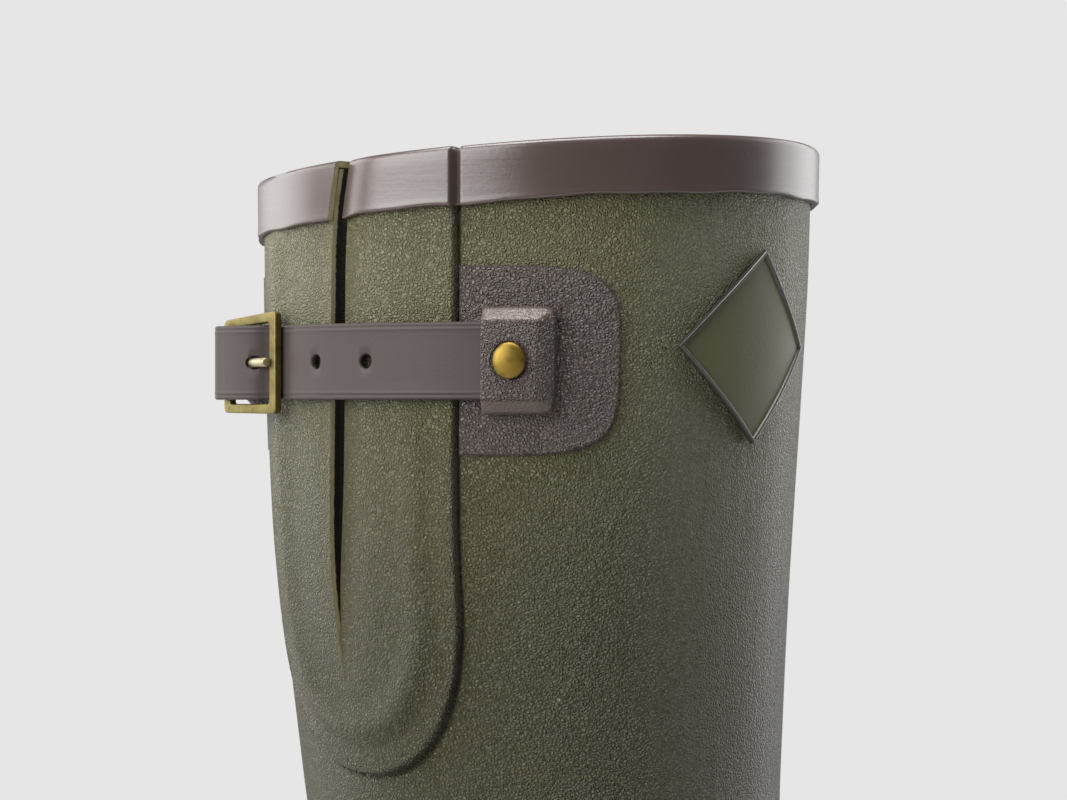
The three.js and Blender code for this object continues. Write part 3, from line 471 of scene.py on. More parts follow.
def pebble_grain(finish, scale, calm):
    """Height of a leather-like pebble grain, 0 in its valleys to 1, flatter where calm is 1."""
    sway = finish.node("ShaderNodeTexNoise", {}, {"Vector": finish.place, "Scale": scale * 0.6}, "Color")
    bent = finish.node(
        "ShaderNodeVectorMath",
        {"operation": "MULTIPLY_ADD"},
        {0: sway, 1: (0.9 / scale,) * 3, 2: finish.place},
    )
    lines = finish.node(
        "ShaderNodeTexVoronoi",
        {"feature": "DISTANCE_TO_EDGE"},
        {"Vector": bent, "Scale": scale},
        "Distance",
    )
    pebbles = soft_range(finish, lines, 0.0, 0.3)
    clumps = finish.node(
        "ShaderNodeTexNoise",
        {},
        {"Vector": finish.place, "Scale": scale * 0.5, "Detail": 2.0, "Roughness": 0.6},
    )
    return (pebbles * 0.8 + clumps * 0.5 - 0.15) * (1 - calm * 0.9)


def painted_pebble_highlight(finish, grain):
    """Painted highlight: the tops of the pebbles, painted pale."""
    return soft_range(finish, grain, 0.35, 1.15)


def dust(finish, scale, share):
    """Sparse pale specks that cling to rubber."""
    place = {"Vector": finish.place, "Scale": scale}
    spot = finish.node("ShaderNodeTexVoronoi", {}, place, "Distance")
    pick = finish.node("ShaderNodeTexVoronoi", {}, place, "Color")
    chosen = finish.node("ShaderNodeMath", {"operation": "GREATER_THAN"}, {0: pick, 1: 1 - share})
    small = finish.node("ShaderNodeMath", {"operation": "LESS_THAN"}, {0: spot, 1: 0.07})
    return chosen * small


def between(finish, factor, first, second):
    return finish.node(
        "ShaderNodeMix",
        {"data_type": "RGBA"},
        {0: factor, 6: first, 7: second},
        2,
    )


olive_rubber = Finish("olive_rubber_grained")
grain = pebble_grain(olive_rubber, 1250, attribute(olive_rubber, "calm"))
blotch = noise(olive_rubber, 28.0, 3.0)
# Painted light from above: the olive is mixed paler towards the collar.
painted_collar_light = soft_range(olive_rubber, height_of(olive_rubber), 0.26, 0.40)
tone = between(olive_rubber, blotch, colour(56, 52, 20), colour(68, 63, 27))
# Painted shade darkens the grain's valleys and a painted highlight lightens the pebbles' tops.
tone = between(olive_rubber, (1 - grain) * 0.5, tone, colour(22, 20, 7))
tone = between(olive_rubber, painted_pebble_highlight(olive_rubber, grain) * 0.1, tone, colour(134, 129, 92))
tone = between(olive_rubber, painted_collar_light * 0.42, tone, colour(132, 128, 94))
# Painted shade: the crevice beside the panel's raised edge is darkened almost to black.
tone = between(olive_rubber, attribute(olive_rubber, "painted_crevice_shade") * 0.85, tone, colour(12, 12, 9))
tone = between(olive_rubber, dust(olive_rubber, 170.0, 0.12) * 0.5, tone, colour(190, 190, 180))
swell = noise(olive_rubber, 34.0)
olive_rubber.surface(tone, 0.38 + 0.12 * blotch, 0.45, grain + 0.4 * swell, 0.0008)

knit_lining = Finish("knitted_lining")
rib = knit_lining.node(
    "ShaderNodeTexWave",
    {"bands_direction": "Z"},
    {"Vector": knit_lining.place, "Scale": 640.0, "Distortion": 1.5, "Detail": 2.0, "Detail Scale": 2.0},
)
fuzz = noise(knit_lining, 700.0, 3.0)
tone = between(knit_lining, rib * 0.6 + fuzz * 0.4, colour(22, 21, 19), colour(40, 38, 34))
knit_lining.surface(tone, 0.92, 0.2, rib + fuzz, 0.0003)

cut_rubber = Finish("cut_rubber_edge")
nick = noise(cut_rubber, 450.0, 3.0)
torn = noise(cut_rubber, 900.0)
# The inner part of the cut face is painted near-black: partly the knitted lining's own edge, partly painted
# shade of the slit's gap.
lining_and_gap_shade = cut_rubber.node(
    "ShaderNodeMapRange",
    {},
    {"Value": attribute(cut_rubber, "depth") + torn * 0.25, "From Min": 0.52, "From Max": 0.62},
)
tone = between(cut_rubber, nick, colour(122, 115, 82), colour(168, 160, 122))
tone = between(cut_rubber, lining_and_gap_shade, tone, colour(10, 9, 7))
cut_rubber.surface(tone, 0.75, 0.3, nick, 0.0003)

slit_end = (SLIT_END_ANGLE, SLIT_END_ANGLE + 360)
REAR_COLUMNS = 132
FORE_COLUMNS = 438
RELIEF_FOOT = 243
shell_angles = joined(
    (slit_end[0], REAR_COLUMNS, 34), (REAR_COLUMNS, 139, 14), (139, 433, 62), (433, FORE_COLUMNS, 20),
    (FORE_COLUMNS, slit_end[1], 52),
)
shell_heights = joined((RELIEF_FOOT, 300, 96), (300, rim_height(PANEL_ANGLE)[0] - 1.8, 62))
shell_rings = np.concatenate([
    np.linspace(0, ring_at(PANEL_ANGLE, RELIEF_FOOT)[0], 54, endpoint=False),
    ring_at(PANEL_ANGLE, shell_heights),
])


def drawn_to_slit(base, height, half, rear_end, fore_start):
    """Angles of a sheet's columns, drawn so that the first and last follow the slit's two edges."""
    slit = slit_angle(height)
    rear = slit + half + (base - slit_end[0]) / (rear_end - slit_end[0]) * (rear_end - slit - half)
    fore = fore_start + (base - fore_start) / (slit_end[1] - fore_start) * (slit - half + 360 - fore_start)
    return np.where(base < rear_end, rear, np.where(base > fore_start, fore, base))


def shell_grid(across, up):
    """Ring, angle and height of places on the shell."""
    ring = spaced(up, shell_rings)
    height = last_point(ring, PANEL_ANGLE)[:, 2]
    base = spaced(across, shell_angles)
    angle = drawn_to_slit(base, height, slit_half_angle(height), REAR_COLUMNS, FORE_COLUMNS) % 360
    return ring, angle, height


def shell_place(across, up):
    ring, angle, _ = shell_grid(across, up)
    skin = last_point(ring, angle)
    beside = angle + np.where(across > 0.5, -1e-3, 1e-3)
    relief = panel_relief(beside, skin[:, 2])
    relief = relief + np.where(across > 0.5, 0, flap_sink(beside, skin[:, 2]))
    return skin + level_normal(ring, angle) * np.where(skin[:, 2] > RELIEF_FROM, relief, 0)[:, None]


shell = bmesh.new()
shares = add_sheet(shell, len(shell_angles) - 1, len(shell_rings) - 1, shell_place)
ring, angle, height = shell_grid(shares[:, 0], shares[:, 1])
inset = panel_inset(angle, height)
slit_gap = np.abs(angle - slit_angle(height)) * ARC
smoothed = np.maximum(0.45 * ease((angle - 112) / 14), 0.6 * ease(1 - slit_gap / 7) * (height > 272))
# Where the crevice's painted shade lies: along the panel's edge, strongest on its front side.
mark(shell, "painted_crevice_shade", bump_of(inset, -0.35, 0.38) * (0.5 + 0.5 * ease((PANEL_ANGLE - angle + 2) / 18)))
mark(shell, "calm", ease((inset - 1) / 3) * smoothed)
turn_outward(shell)
inner = bmesh.ops.solidify(shell, geom=shell.faces, thickness=WALL * MM)["geom"]
inner_faces = {item for item in inner if isinstance(item, bmesh.types.BMFace)}
depth = shell.verts.layers.float.new("depth")
for face in inner_faces:
    face.material_index = 1
    for vert in face.verts:
        vert[depth] = 1.0
shell.faces.ensure_lookup_table()
for face in shell.faces[len(inner_faces) * 2:]:
    face.material_index = 2
make_piece("boot_shell", shell, [olive_rubber, knit_lining, cut_rubber], "upper")

# Collar binding
# A thicker strip of smooth taupe rubber laid over the rim and cured to the shell. It steps out over the
# raised panel, its lower edge is rounded, and it is cut through where the slit runs.
BAND_HEIGHT = 13.5
BAND_OUT = GAP + 1.6

taupe_rubber = Finish("taupe_rubber_smooth")
cloud = noise(taupe_rubber, 45.0, 4.0)
scuff_place = taupe_rubber.node(
    "ShaderNodeMapping",
    {},
    {"Vector": taupe_rubber.place, "Scale": (60.0, 60.0, 1500.0)},
)
scuff = taupe_rubber.node("ShaderNodeTexNoise", {}, {"Vector": scuff_place, "Scale": 1.0, "Detail": 4.0})
skin_grain = noise(taupe_rubber, 900.0)
tone = between(taupe_rubber, cloud, colour(64, 52, 49), colour(76, 63, 59))
tone = between(taupe_rubber, dust(taupe_rubber, 210.0, 0.08) * 0.45, tone, colour(200, 196, 190))
waviness = 0.5 * skin_grain + 0.6 * scuff + 2.0 * cloud
taupe_rubber.surface(tone, 0.24 + 0.10 * cloud + 0.06 * scuff, 0.75, waviness, 0.00005)

band_profile = np.array([
    (GAP, -BAND_HEIGHT), (1.3, -BAND_HEIGHT), (1.75, -13.42), (1.98, -13.2), (2.02, -12.8), (1.98, -12.4),
    (1.93, -12.0), (BAND_OUT, -11.4), (BAND_OUT, -8.0), (BAND_OUT, -4.0), (BAND_OUT, -1.6), (1.78, -0.9),
    (1.45, -0.4), (0.9, -0.1), (0.2, 0.0), (-1.2, 0.0), (-2.3, -0.05), (-2.8, -0.3), (-WALL, -0.8),
    (-WALL, -1.5), (GAP, -1.5),
])
band_loop = np.vstack([band_profile, band_profile[:1]])
REAR_END = PANEL_ANGLE + PANEL_HALF_ANGLE
FORE_END = PANEL_ANGLE - PANEL_HALF_ANGLE + 360
band_angles = joined(
    (slit_end[0], REAR_END - 2, 20), (REAR_END - 2, REAR_END + 3, 16), (REAR_END + 3, FORE_END - 3, 92),
    (FORE_END - 3, FORE_END + 3, 24), (FORE_END + 3, slit_end[1], 34),
)


def band_place(across, around):
    stand = spaced(around, band_loop[:, 0])
    down = spaced(around, band_loop[:, 1])
    level = BOOT_HEIGHT - COLLAR_DROP * 0.6 + down
    half = SLIT_WIDTH / 2 / ARC
    angle = drawn_to_slit(spaced(across, band_angles), level, half, REAR_END - 2, FORE_END + 3)
    step_rear = 1 - ease((angle - REAR_END) / 1.4)
    step_fore = ease((angle - FORE_END + 0.4) / 1.0)
    groove = bump_of(angle, FORE_END - 0.5, 0.5) + 0.6 * bump_of(angle, REAR_END + 1.2, 0.6)
    wave = 0.22 * np.sin(np.radians(angle * 9)) + 0.15 * np.sin(np.radians(angle * 23 + 40))
    height = rim_height(angle) + down - 0.5 * groove * (down > -3) + wave * (down < -11)
    sink = np.where(angle > 300, flap_sink(angle - 360, np.minimum(height, 396)), 0)
    lift = np.where(stand > 0, PANEL_RISE * (step_rear + step_fore) - 0.55 * groove, 0)
    lift = lift + 0.16 * (stand > 1) * np.sin(np.radians(angle * 13 + 50))
    lift = lift - 0.6 * (stand > 1) * ease((angle - 108) / 14) * step_rear * (angle < 180)
    return shaft_point(angle, height, stand + lift - sink)


def close_ends(mesh):
    """Joins the seam of a tube and fills its open ends, whose faces it returns."""
    join_sheets(mesh, 0.00001)
    open_edges = [edge for edge in mesh.edges if edge.is_boundary]
    ends = bmesh.ops.holes_fill(mesh, edges=open_edges, sides=0)["faces"]
    bmesh.ops.recalc_face_normals(mesh, faces=mesh.faces)
    return ends


band = bmesh.new()
add_sheet(band, len(band_angles) - 1, len(band_loop) - 1, band_place)
for face in close_ends(band):
    face.material_index = 1
make_piece("collar_binding", band, [taupe_rubber, cut_rubber], "collar_band", 50)

# Outsole
# Moulded brown-grey rubber, cupped up around the shell and cured to it: a stitched-look ledge with a
# groove, a heel block, a raised arch and lugs under heel and forefoot that carry the boot.
CUP_RING = 0.45
LEDGE = 4.2
TREAD_DEPTH = 4
TREAD_GROOVE = 4
SIDE_LUG_WIDTH = 26

sole_rubber = Finish("sole_rubber")
mottle = noise(sole_rubber, 60.0, 5.0)
pitting = noise(sole_rubber, 1300.0)
near_floor = soft_range(sole_rubber, height_of(sole_rubber), 0.0, 0.012, 1.0, 0.0)
tone = between(sole_rubber, mottle, colour(70, 62, 59), colour(84, 75, 71))
tone = between(sole_rubber, near_floor * mottle * 0.6, tone, colour(128, 120, 110))
sole_rubber.surface(tone, 0.58 + 0.2 * mottle, 0.35, pitting + mottle, 0.00012)

# Level, out of the shell, and depth under the seat or height over the ground.
sole_side = [
    (0, GAP, "seat", GAP), (0.2, GAP, "skin", 0), (CUP_RING, GAP, "skin", 0),
    (CUP_RING + 0.02, 1.0, "skin", 0), (CUP_RING, 1.9, "skin", 0), (CUP_RING - 0.05, 2.25, "skin", 0),
    (0.25, 2.5, "skin", 0), (0.1, 2.75, "skin", 0), (0.06, 3.1, "skin", 0), (0, LEDGE - 0.3, "seat", 0.5),
    (0, LEDGE, "seat", 1.1), (0, LEDGE, "seat", 3.4), (0, LEDGE - 0.25, "seat", 3.8),
    (0, LEDGE - 1, "seat", 4.2), (0, LEDGE - 1, "seat", 6.0), (0, LEDGE - 0.6, "seat", 6.5),
    (0, LEDGE - 0.4, "seat", 7.2), (0, LEDGE - 0.7, "ground", 3.0), (0, LEDGE - 1.0, "ground", 1.2),
    (0, LEDGE - 1.3, "ground", 0.4), (0, LEDGE - 2, "ground", 0),
]
SOLE_AROUND = 192


def sole_level(index, angle):
    ring, out, datum, away = sole_side[index]
    points = last_point(ring, angle) + level_normal(ring, angle) * out
    if datum == "seat":
        points[:, 2] = seat_height(points[:, 0]) - away
    if datum == "ground":
        points[:, 2] = ground_height(points[:, 0]) + away
    return points


def sole_wall(across, up):
    levels = np.rint(up * (len(sole_side) - 1)).astype(int)
    points = np.zeros((across.size, 3))
    for index in range(len(sole_side)):
        here = levels == index
        points[here] = sole_level(index, across[here] * 360)
    return points


def sole_cap(index, height):
    """Place for a sheet that fills a level of the sole, ladder-wise from side to side."""
    def place(across, up):
        outer = sole_level(index, across * 180)
        inner = sole_level(index, -across * 180)
        points = outer + (inner - outer) * up[:, None]
        points[:, 2] = np.where((up > 0.001) & (up < 0.999), height(points[:, 0]), points[:, 2])
        return points
    return place


sole = bmesh.new()
add_sheet(sole, SOLE_AROUND, len(sole_side) - 1, sole_wall)
add_sheet(sole, SOLE_AROUND // 2, 14, sole_cap(len(sole_side) - 1, ground_height))
add_sheet(sole, SOLE_AROUND // 2, 4, sole_cap(0, lambda x: seat_height(x) - GAP))
join_sheets(sole)
outsole = make_piece("outsole_rubber", sole, [sole_rubber], "outsole", 32)


def cut_away(piece, cutter, sharp):
    """Cuts a closed mesh out of a piece."""
    bmesh.ops.recalc_face_normals(cutter, faces=cutter.faces)
    tool = bpy.data.objects.new("cutter", mesh_data("cutter", cutter))
    link(tool)
    bore = piece.modifiers.new("bore", "BOOLEAN")
    bore.object = tool
    bore.solver = "EXACT"
    bore.use_self = True
    graph = bpy.context.evaluated_depsgraph_get()
    result = bpy.data.meshes.new_from_object(piece.evaluated_get(graph))
    piece.modifiers.remove(bore)
    piece.data = result
    piece.data.set_sharp_from_angle(angle=math.radians(sharp))
    bpy.data.objects.remove(tool)


def add_box(mesh, x0, x1, y0, y1, z0, z1):
    middle = np.array([(x0 + x1) / 2, (y0 + y1) / 2, (z0 + z1) / 2]) + ROW_SHIFT
    size = Matrix.Diagonal((x1 - x0, y1 - y0, z1 - z0, 1 / MM))
    bmesh.ops.create_cube(mesh, size=1, matrix=Matrix.Translation(middle * MM) @ Matrix.Scale(MM, 4) @ size)


def lug_rows(start, end, pitch):
    rows = round((end - start) * FOOT_LENGTH / pitch)
    return np.linspace(start * FOOT_LENGTH, end * FOOT_LENGTH, rows + 1)


grooves = bmesh.new()
side_reach = BALL_HALF_WIDTH + 2 * LEDGE + TOE_SWING
for start, end, pitch in ((0.58, 0.96, 15), (0.04, 0.24, 17)):
    rows = lug_rows(start, end, pitch)
    for x in rows[1:-1]:
        roof = ground_height(x)[0] + TREAD_DEPTH
        add_box(grooves, x - TREAD_GROOVE / 2, x + TREAD_GROOVE / 2, -side_reach, side_reach, -1, roof)
    for i, x in enumerate(rows[:-1]):
        roof = ground_height((x + rows[i + 1]) / 2)[0] + TREAD_DEPTH
        for side in (-1, 1):
            y = side * SIDE_LUG_WIDTH / 2 + (3 if i % 2 else -3)
            add_box(grooves, x, rows[i + 1], y - TREAD_GROOVE / 2, y + TREAD_GROOVE / 2, -1, roof)
cut_away(outsole, grooves, 32)

# Insole
# A loose sheet of foam faced with a woven cloth, cut to the last and laid in the foot.
INSOLE_INSET = 3.6
INSOLE_THICKNESS = 3.2

insole_cloth = Finish("insole_cloth")
warp, weft = (
    insole_cloth.node(
        "ShaderNodeTexWave",
        {"bands_direction": axis},
        {"Vector": insole_cloth.place, "Scale": 300.0, "Distortion": 0.6},
    )
    for axis in "XY"
)
weave = warp * weft
tone = between(insole_cloth, weave, colour(104, 98, 86), colour(146, 139, 124))
insole_cloth.surface(tone, 0.95, 0.2, weave, 0.0002)


def insole_edge(angle):
    return last_point(0, angle) - level_normal(0, angle) * INSOLE_INSET


def insole_place(across, up):
    outer = insole_edge(across * 180)
    inner = insole_edge(-across * 180)
    points = outer + (inner - outer) * up[:, None]
    points[:, 2] = seat_height(points[:, 0]) + 4 - 0.6 * (1 - (2 * up - 1) ** 6)
    return points


insole = bmesh.new()
add_sheet(insole, 96, 24, insole_place)
join_sheets(insole)
insole.faces.ensure_lookup_table()
if insole.faces[len(insole.faces) // 2].normal.z < 0:
    bmesh.ops.reverse_faces(insole, faces=insole.faces)
bmesh.ops.solidify(insole, geom=insole.faces, thickness=INSOLE_THICKNESS * MM)
make_piece("insole_pad", insole, [insole_cloth], "insole", 50)

# Reinforcing patches
# Two D-shaped plates of grained taupe rubber cured on beside the panel. Each has a raised keeper block
# moulded over it, open towards the panel: the front one grips the strap's end, the rear one the buckle's tab.
STRAP_HEIGHT = BOOT_HEIGHT - 53
STRAP_WIDTH = 17.9
STRAP_THICKNESS = 1.8
STRAP_STAND = PANEL_RISE + 0.7 + STRAP_THICKNESS / 2
PATCH_HALF_HEIGHT = 22
PATCH_REACH = 32.4
PATCH_SQUARE = 4.5
FRONT_MOUTH = 5
REAR_MOUTH = 3
KEEPER_SPAN = 14.5
KEEPER_HALF_HEIGHT = 12.4
KEEPER_FLANK = 3.6
RIVET_SETBACK = KEEPER_SPAN / 2 - 1.4
RIVET_OVAL = 0.9

taupe_grained = Finish("taupe_rubber_grained")
patch_calm = attribute(taupe_grained, "calm")
patch_grain = pebble_grain(taupe_grained, 1200, patch_calm)
patch_cloud = noise(taupe_grained, 50.0)
tone = between(taupe_grained, patch_cloud, colour(74, 63, 58), colour(88, 76, 70))
# Painted shade darkens the grain's valleys, less on the keeper's calm faces, and a painted highlight lightens
# the pebbles' tops.
tone = between(taupe_grained, (1 - patch_grain) * (0.4 - 0.4 * patch_calm), tone, colour(34, 29, 28))
tone = between(taupe_grained, painted_pebble_highlight(taupe_grained, patch_grain) * 0.1, tone, colour(150, 134, 124))
tone = between(taupe_grained, dust(taupe_grained, 190.0, 0.1) * 0.5, tone, colour(200, 196, 190))
taupe_grained.surface(tone, 0.36 + 0.12 * patch_cloud - 0.1 * patch_calm, 0.55, patch_grain, 0.0008)


def patch_edge(direction):
    return PANEL_ANGLE + direction * (PANEL_HALF_ANGLE + 0.6 / ARC)


def keeper_top(thickness):
    return STRAP_STAND + thickness / 2 + GAP + 1.8


def make_patch(name, direction, grip, rivet, node):
    edge = patch_edge(direction)
    mouth = REAR_MOUTH if direction > 0 else FRONT_MOUTH
    top = keeper_top(grip)

    def spread(across, up):
        share = spaced(up, joined((-0.997, -0.9, 14), (-0.9, 0.9, 162), (0.9, 0.997, 14)))
        reach = (1 - np.abs(share) ** PATCH_SQUARE) ** (1 / PATCH_SQUARE)
        u = spaced(across, joined((0, 0.04, 8), (0.04, 0.72, 124), (0.72, 0.95, 24), (0.95, 1, 12)))
        return share, u * reach * PATCH_REACH

    def facets(across, up):
        """How far a place lies on the keeper's smooth sloping sides."""
        share, away = spread(across, up)
        over = np.abs(share) * PATCH_HALF_HEIGHT - KEEPER_HALF_HEIGHT + KEEPER_FLANK
        along = (away - mouth) * ARC
        sides = ease(over / 0.6) * ease((KEEPER_FLANK - over) / 0.4)
        return sides * ease(along + 0.5) * ease((KEEPER_SPAN * ARC - along) / 2)

    def place(across, up):
        share, away = spread(across, up)
        rim = inset_from(away / PATCH_REACH, share, PATCH_REACH * ARC, PATCH_HALF_HEIGHT, PATCH_SQUARE)
        rim = np.minimum(rim, away * ARC)
        stand = 1.0 - 0.95 * (1 - np.clip(rim / 0.9, 0, 1)) ** 2
        level = share * PATCH_HALF_HEIGHT
        along = (away - mouth) * ARC
        flank = np.clip((KEEPER_HALF_HEIGHT - np.abs(level)) / KEEPER_FLANK, 0, 1)
        far = np.clip((KEEPER_SPAN * ARC - along) / (KEEPER_FLANK + 0.8), 0, 1)
        slope = 1 - ((1 - flank) ** 3 + (1 - far) ** 3) ** (1 / 3)
        block = 0.38 * ease(slope / 0.14) + 0.62 * np.clip(slope, 0, 1)
        crown = 1 - 0.02 * (level / KEEPER_HALF_HEIGHT) ** 2
        lip = ease(along / 0.9 + 0.25) * (1 - 0.06 * bump_of(along, 0, 1.0))
        stand = stand + (top - 1.0) * block * lip * crown
        stand = stand - 0.25 * bump_of(KEEPER_SPAN * ARC + 1.4 - along, 0, 1.3) * (np.abs(level) < 13)
        if rivet:
            off = np.hypot((away - mouth - RIVET_SETBACK) * ARC / RIVET_OVAL, level)
            stand = stand - 0.45 * bump_of(off, 4.2, 0.22)
        return shaft_point(edge + direction * away, STRAP_HEIGHT + level, stand)

    mesh = bmesh.new()
    shares = add_sheet(mesh, 168, 190, place)
    mark(mesh, "calm", facets(shares[:, 0], shares[:, 1]))
    turn_outward(mesh)
    bmesh.ops.solidify(mesh, geom=mesh.faces, thickness=0.0004)
    make_piece(name, mesh, [taupe_grained], node, 60)


make_patch("front_strap_patch", -1, STRAP_THICKNESS, True, "front_patch")
make_patch("rear_strap_patch", 1, 1, False, "rear_patch")

# Adjusting strap
# A flat strap of smooth taupe rubber with a fine raised line inside each edge. It leaves the front keeper,
# crosses the panel and the slit, passes under the buckle's front bar and over its hinge bar, and lies over
# the rear keeper. Its holes are punched.
HOLE_ANGLES = (93.5, 106.7)
HOLE_WIDTH = 3.4
PRONG_HOLE_LENGTH = 4.5
BUCKLE_ANGLE = 126.2
BUCKLE_STAND = 8
BUCKLE_TILT = 20
BUCKLE_LENGTH = 20
BUCKLE_HEIGHT = 24.7
BUCKLE_BAR = 2.4
BUCKLE_THICKNESS = 2
TAB_THICKNESS = 1
FRONT_EDGE = patch_edge(-1)
REAR_EDGE = patch_edge(1)
REAR_TOP = keeper_top(TAB_THICKNESS)

buckle_centre = shaft_point(BUCKLE_ANGLE, STRAP_HEIGHT, BUCKLE_STAND)[0]
ahead = unit(shaft_point(BUCKLE_ANGLE + 0.5, STRAP_HEIGHT, BUCKLE_STAND)[0] - buckle_centre)
tilt = math.radians(BUCKLE_TILT)
buckle_along = np.array([
    ahead[0] * math.cos(tilt) - ahead[1] * math.sin(tilt),
    ahead[0] * math.sin(tilt) + ahead[1] * math.cos(tilt),
    0,
])
buckle_out = unit(np.cross(buckle_along, (0, 0, -1)))


def on_shaft(angle, stand):
    return shaft_point(angle, STRAP_HEIGHT, stand)[0]


def from_buckle(x, z):
    return buckle_centre + buckle_along * x + buckle_out * z


def smooth_route(stops, count=1600):
    """Even points of a centripetal spline through the stops."""
    stops = np.array(stops)
    stops = np.vstack([2 * stops[0] - stops[1], stops, 2 * stops[-1] - stops[-2]])
    line = []
    for p0, p1, p2, p3 in zip(stops, stops[1:], stops[2:], stops[3:]):
        d0, d1, d2 = (math.sqrt(np.linalg.norm(b - a)) for a, b in ((p0, p1), (p1, p2), (p2, p3)))
        t1 = ((p1 - p0) / d0 - (p2 - p0) / (d0 + d1) + (p2 - p1) / d1) * d1
        t2 = ((p2 - p1) / d1 - (p3 - p1) / (d1 + d2) + (p3 - p2) / d2) * d1
        t = np.linspace(0, 1, 60, endpoint=False)[:, None]
        line.append(p1 + t1 * t + (3 * (p2 - p1) - 2 * t1 - t2) * t ** 2 + (2 * (p1 - p2) + t1 + t2) * t ** 3)
    line = np.vstack(line + [stops[-2][None]])
    run = np.concatenate([[0], np.cumsum(np.linalg.norm(np.diff(line, axis=0), axis=1))])
    even = np.linspace(0, run[-1], count)
    return np.stack([np.interp(even, run, line[:, k]) for k in range(3)], axis=-1)


def route_normals(route):
    run = np.gradient(route, axis=0)
    return unit(np.stack([-run[:, 1], run[:, 0], np.zeros(len(run))], axis=-1))


def pick_along(values, share):
    steps = np.linspace(0, 1, len(values))
    return np.stack([np.interp(share, steps, values[:, k]) for k in range(3)], axis=-1)


BAR_OFFSET = (BUCKLE_LENGTH - BUCKLE_BAR) / 2
BAR_TOP = BUCKLE_THICKNESS / 2
LOOP_TOP = BAR_TOP + GAP + TAB_THICKNESS
OVER_BAR = LOOP_TOP + GAP + STRAP_THICKNESS / 2
UNDER_BAR = -BAR_TOP - GAP - STRAP_THICKNESS / 2
over_keeper = REAR_TOP + GAP + STRAP_THICKNESS / 2
prong_hole = from_buckle(-2.9, UNDER_BAR + 3.7)
strap_route = smooth_route([
    on_shaft(FRONT_EDGE - FRONT_MOUTH - 9, STRAP_STAND),
    on_shaft(FRONT_EDGE - FRONT_MOUTH - 4, STRAP_STAND),
    *[on_shaft(a, STRAP_STAND) for a in np.linspace(FRONT_EDGE, BUCKLE_ANGLE - 13.2, 7)],
    from_buckle(-BAR_OFFSET - 0.6, UNDER_BAR - 0.3),
    from_buckle(-BAR_OFFSET + 1.5, UNDER_BAR),
    from_buckle(-BAR_OFFSET + 3.7, UNDER_BAR + 1.5),
    prong_hole,
    from_buckle(0.2, OVER_BAR - 0.6),
    from_buckle(BAR_OFFSET - 4, OVER_BAR - 0.3),
    from_buckle(BAR_OFFSET - 1.4, OVER_BAR - 0.35),
    from_buckle(BAR_OFFSET + 0.9, OVER_BAR - 0.5),
    from_buckle(BAR_OFFSET + 2.1, OVER_BAR - 1.5),
    from_buckle(BAR_OFFSET + 2.6, OVER_BAR - 3.4),
    on_shaft(REAR_EDGE + REAR_MOUTH + 5, over_keeper + 0.4),
    on_shaft(REAR_EDGE + REAR_MOUTH + KEEPER_SPAN, over_keeper + 0.2),
    on_shaft(REAR_EDGE + REAR_MOUTH + KEEPER_SPAN + 8, REAR_TOP - 0.6),
])
strap_normals = route_normals(strap_route)
strap_length = np.sum(np.linalg.norm(np.diff(strap_route, axis=0), axis=1))
STRAP_TIP = STRAP_WIDTH * 0.45

# Half of the strap's section from the middle of its face round its edge to the middle of its back.
half_section = [
    (0, 0.86), (4, 0.86), (6.6, 0.86), (7.0, 0.88), (7.25, 0.94), (7.5, 0.94), (7.7, 0.84),
    (7.95, 0.77), (8.2, 0.86), (8.45, 0.88), (8.7, 0.76), (8.87, 0.5), (8.95, 0.1), (8.92, -0.4),
    (8.75, -0.72), (8.45, -0.88), (8.0, -0.9), (4, -0.9), (0, -0.9),
]
mirrored = [(-w, t) for w, t in reversed(half_section[1:-1])]
strap_section = np.array(half_section + mirrored + half_section[:1])


def strap_place(across, around):
    share = spaced(across, joined((0, 0.9, 230), (0.9, 1, 50)))
    left = np.maximum(STRAP_TIP - (1 - share) * strap_length, 0) / STRAP_TIP
    narrow = np.sqrt(np.maximum(1 - 0.985 * left ** 2, 0.015))
    points = pick_along(strap_route, share)
    from_hinge = np.linalg.norm(points - from_buckle(BAR_OFFSET + 2, 0), axis=1)
    thick = spaced(around, strap_section[:, 1]) * (1 - 0.35 * bump_of(from_hinge, 0, 4.5))
    points = points + pick_along(strap_normals, share) * thick[:, None]
    points[:, 2] = STRAP_HEIGHT + spaced(around, strap_section[:, 0]) * narrow
    return points


strap = bmesh.new()
add_sheet(strap, 280, len(strap_section) - 1, strap_place)
close_ends(strap)
dull_taupe = Finish("strap_rubber")
haze = noise(dull_taupe, 55.0, 5.0)
fine = noise(dull_taupe, 1400.0)
tone = between(dull_taupe, haze, colour(48, 40, 38), colour(62, 53, 50))
tone = between(dull_taupe, dust(dull_taupe, 260.0, 0.1) * 0.5, tone, colour(196, 190, 182))
dull_taupe.surface(tone, 0.5 + 0.12 * haze, 0.32, fine * 0.5 + haze, 0.00006)
strap_piece = make_piece("adjusting_strap", strap, [dull_taupe], "strap", 50)


def axes_at(origin, x_axis, y_axis, z_axis):
    """Transform in metres to a place given in millimetres."""
    columns = [Vector(axis) for axis in (x_axis, y_axis, z_axis)]
    turn = Matrix([[columns[c][r] for c in range(3)] for r in range(3)]).to_4x4()
    return Matrix.Translation(Vector((origin + ROW_SHIFT) * MM)) @ turn @ Matrix.Scale(MM, 4)


def spun(profile, steps):
    """Mesh of a profile of radius and height turned about its axis."""
    mesh = bmesh.new()
    verts = [mesh.verts.new((radius, 0, rise)) for radius, rise in profile]
    edges = [mesh.edges.new(pair) for pair in zip(verts, verts[1:])]
    bmesh.ops.spin(
        mesh,
        geom=verts + edges,
        cent=(0, 0, 0),
        axis=(0, 0, 1),
        angle=math.tau,
        steps=steps,
        use_merge=True,
    )
    join_sheets(mesh, 1e-4)
    return mesh


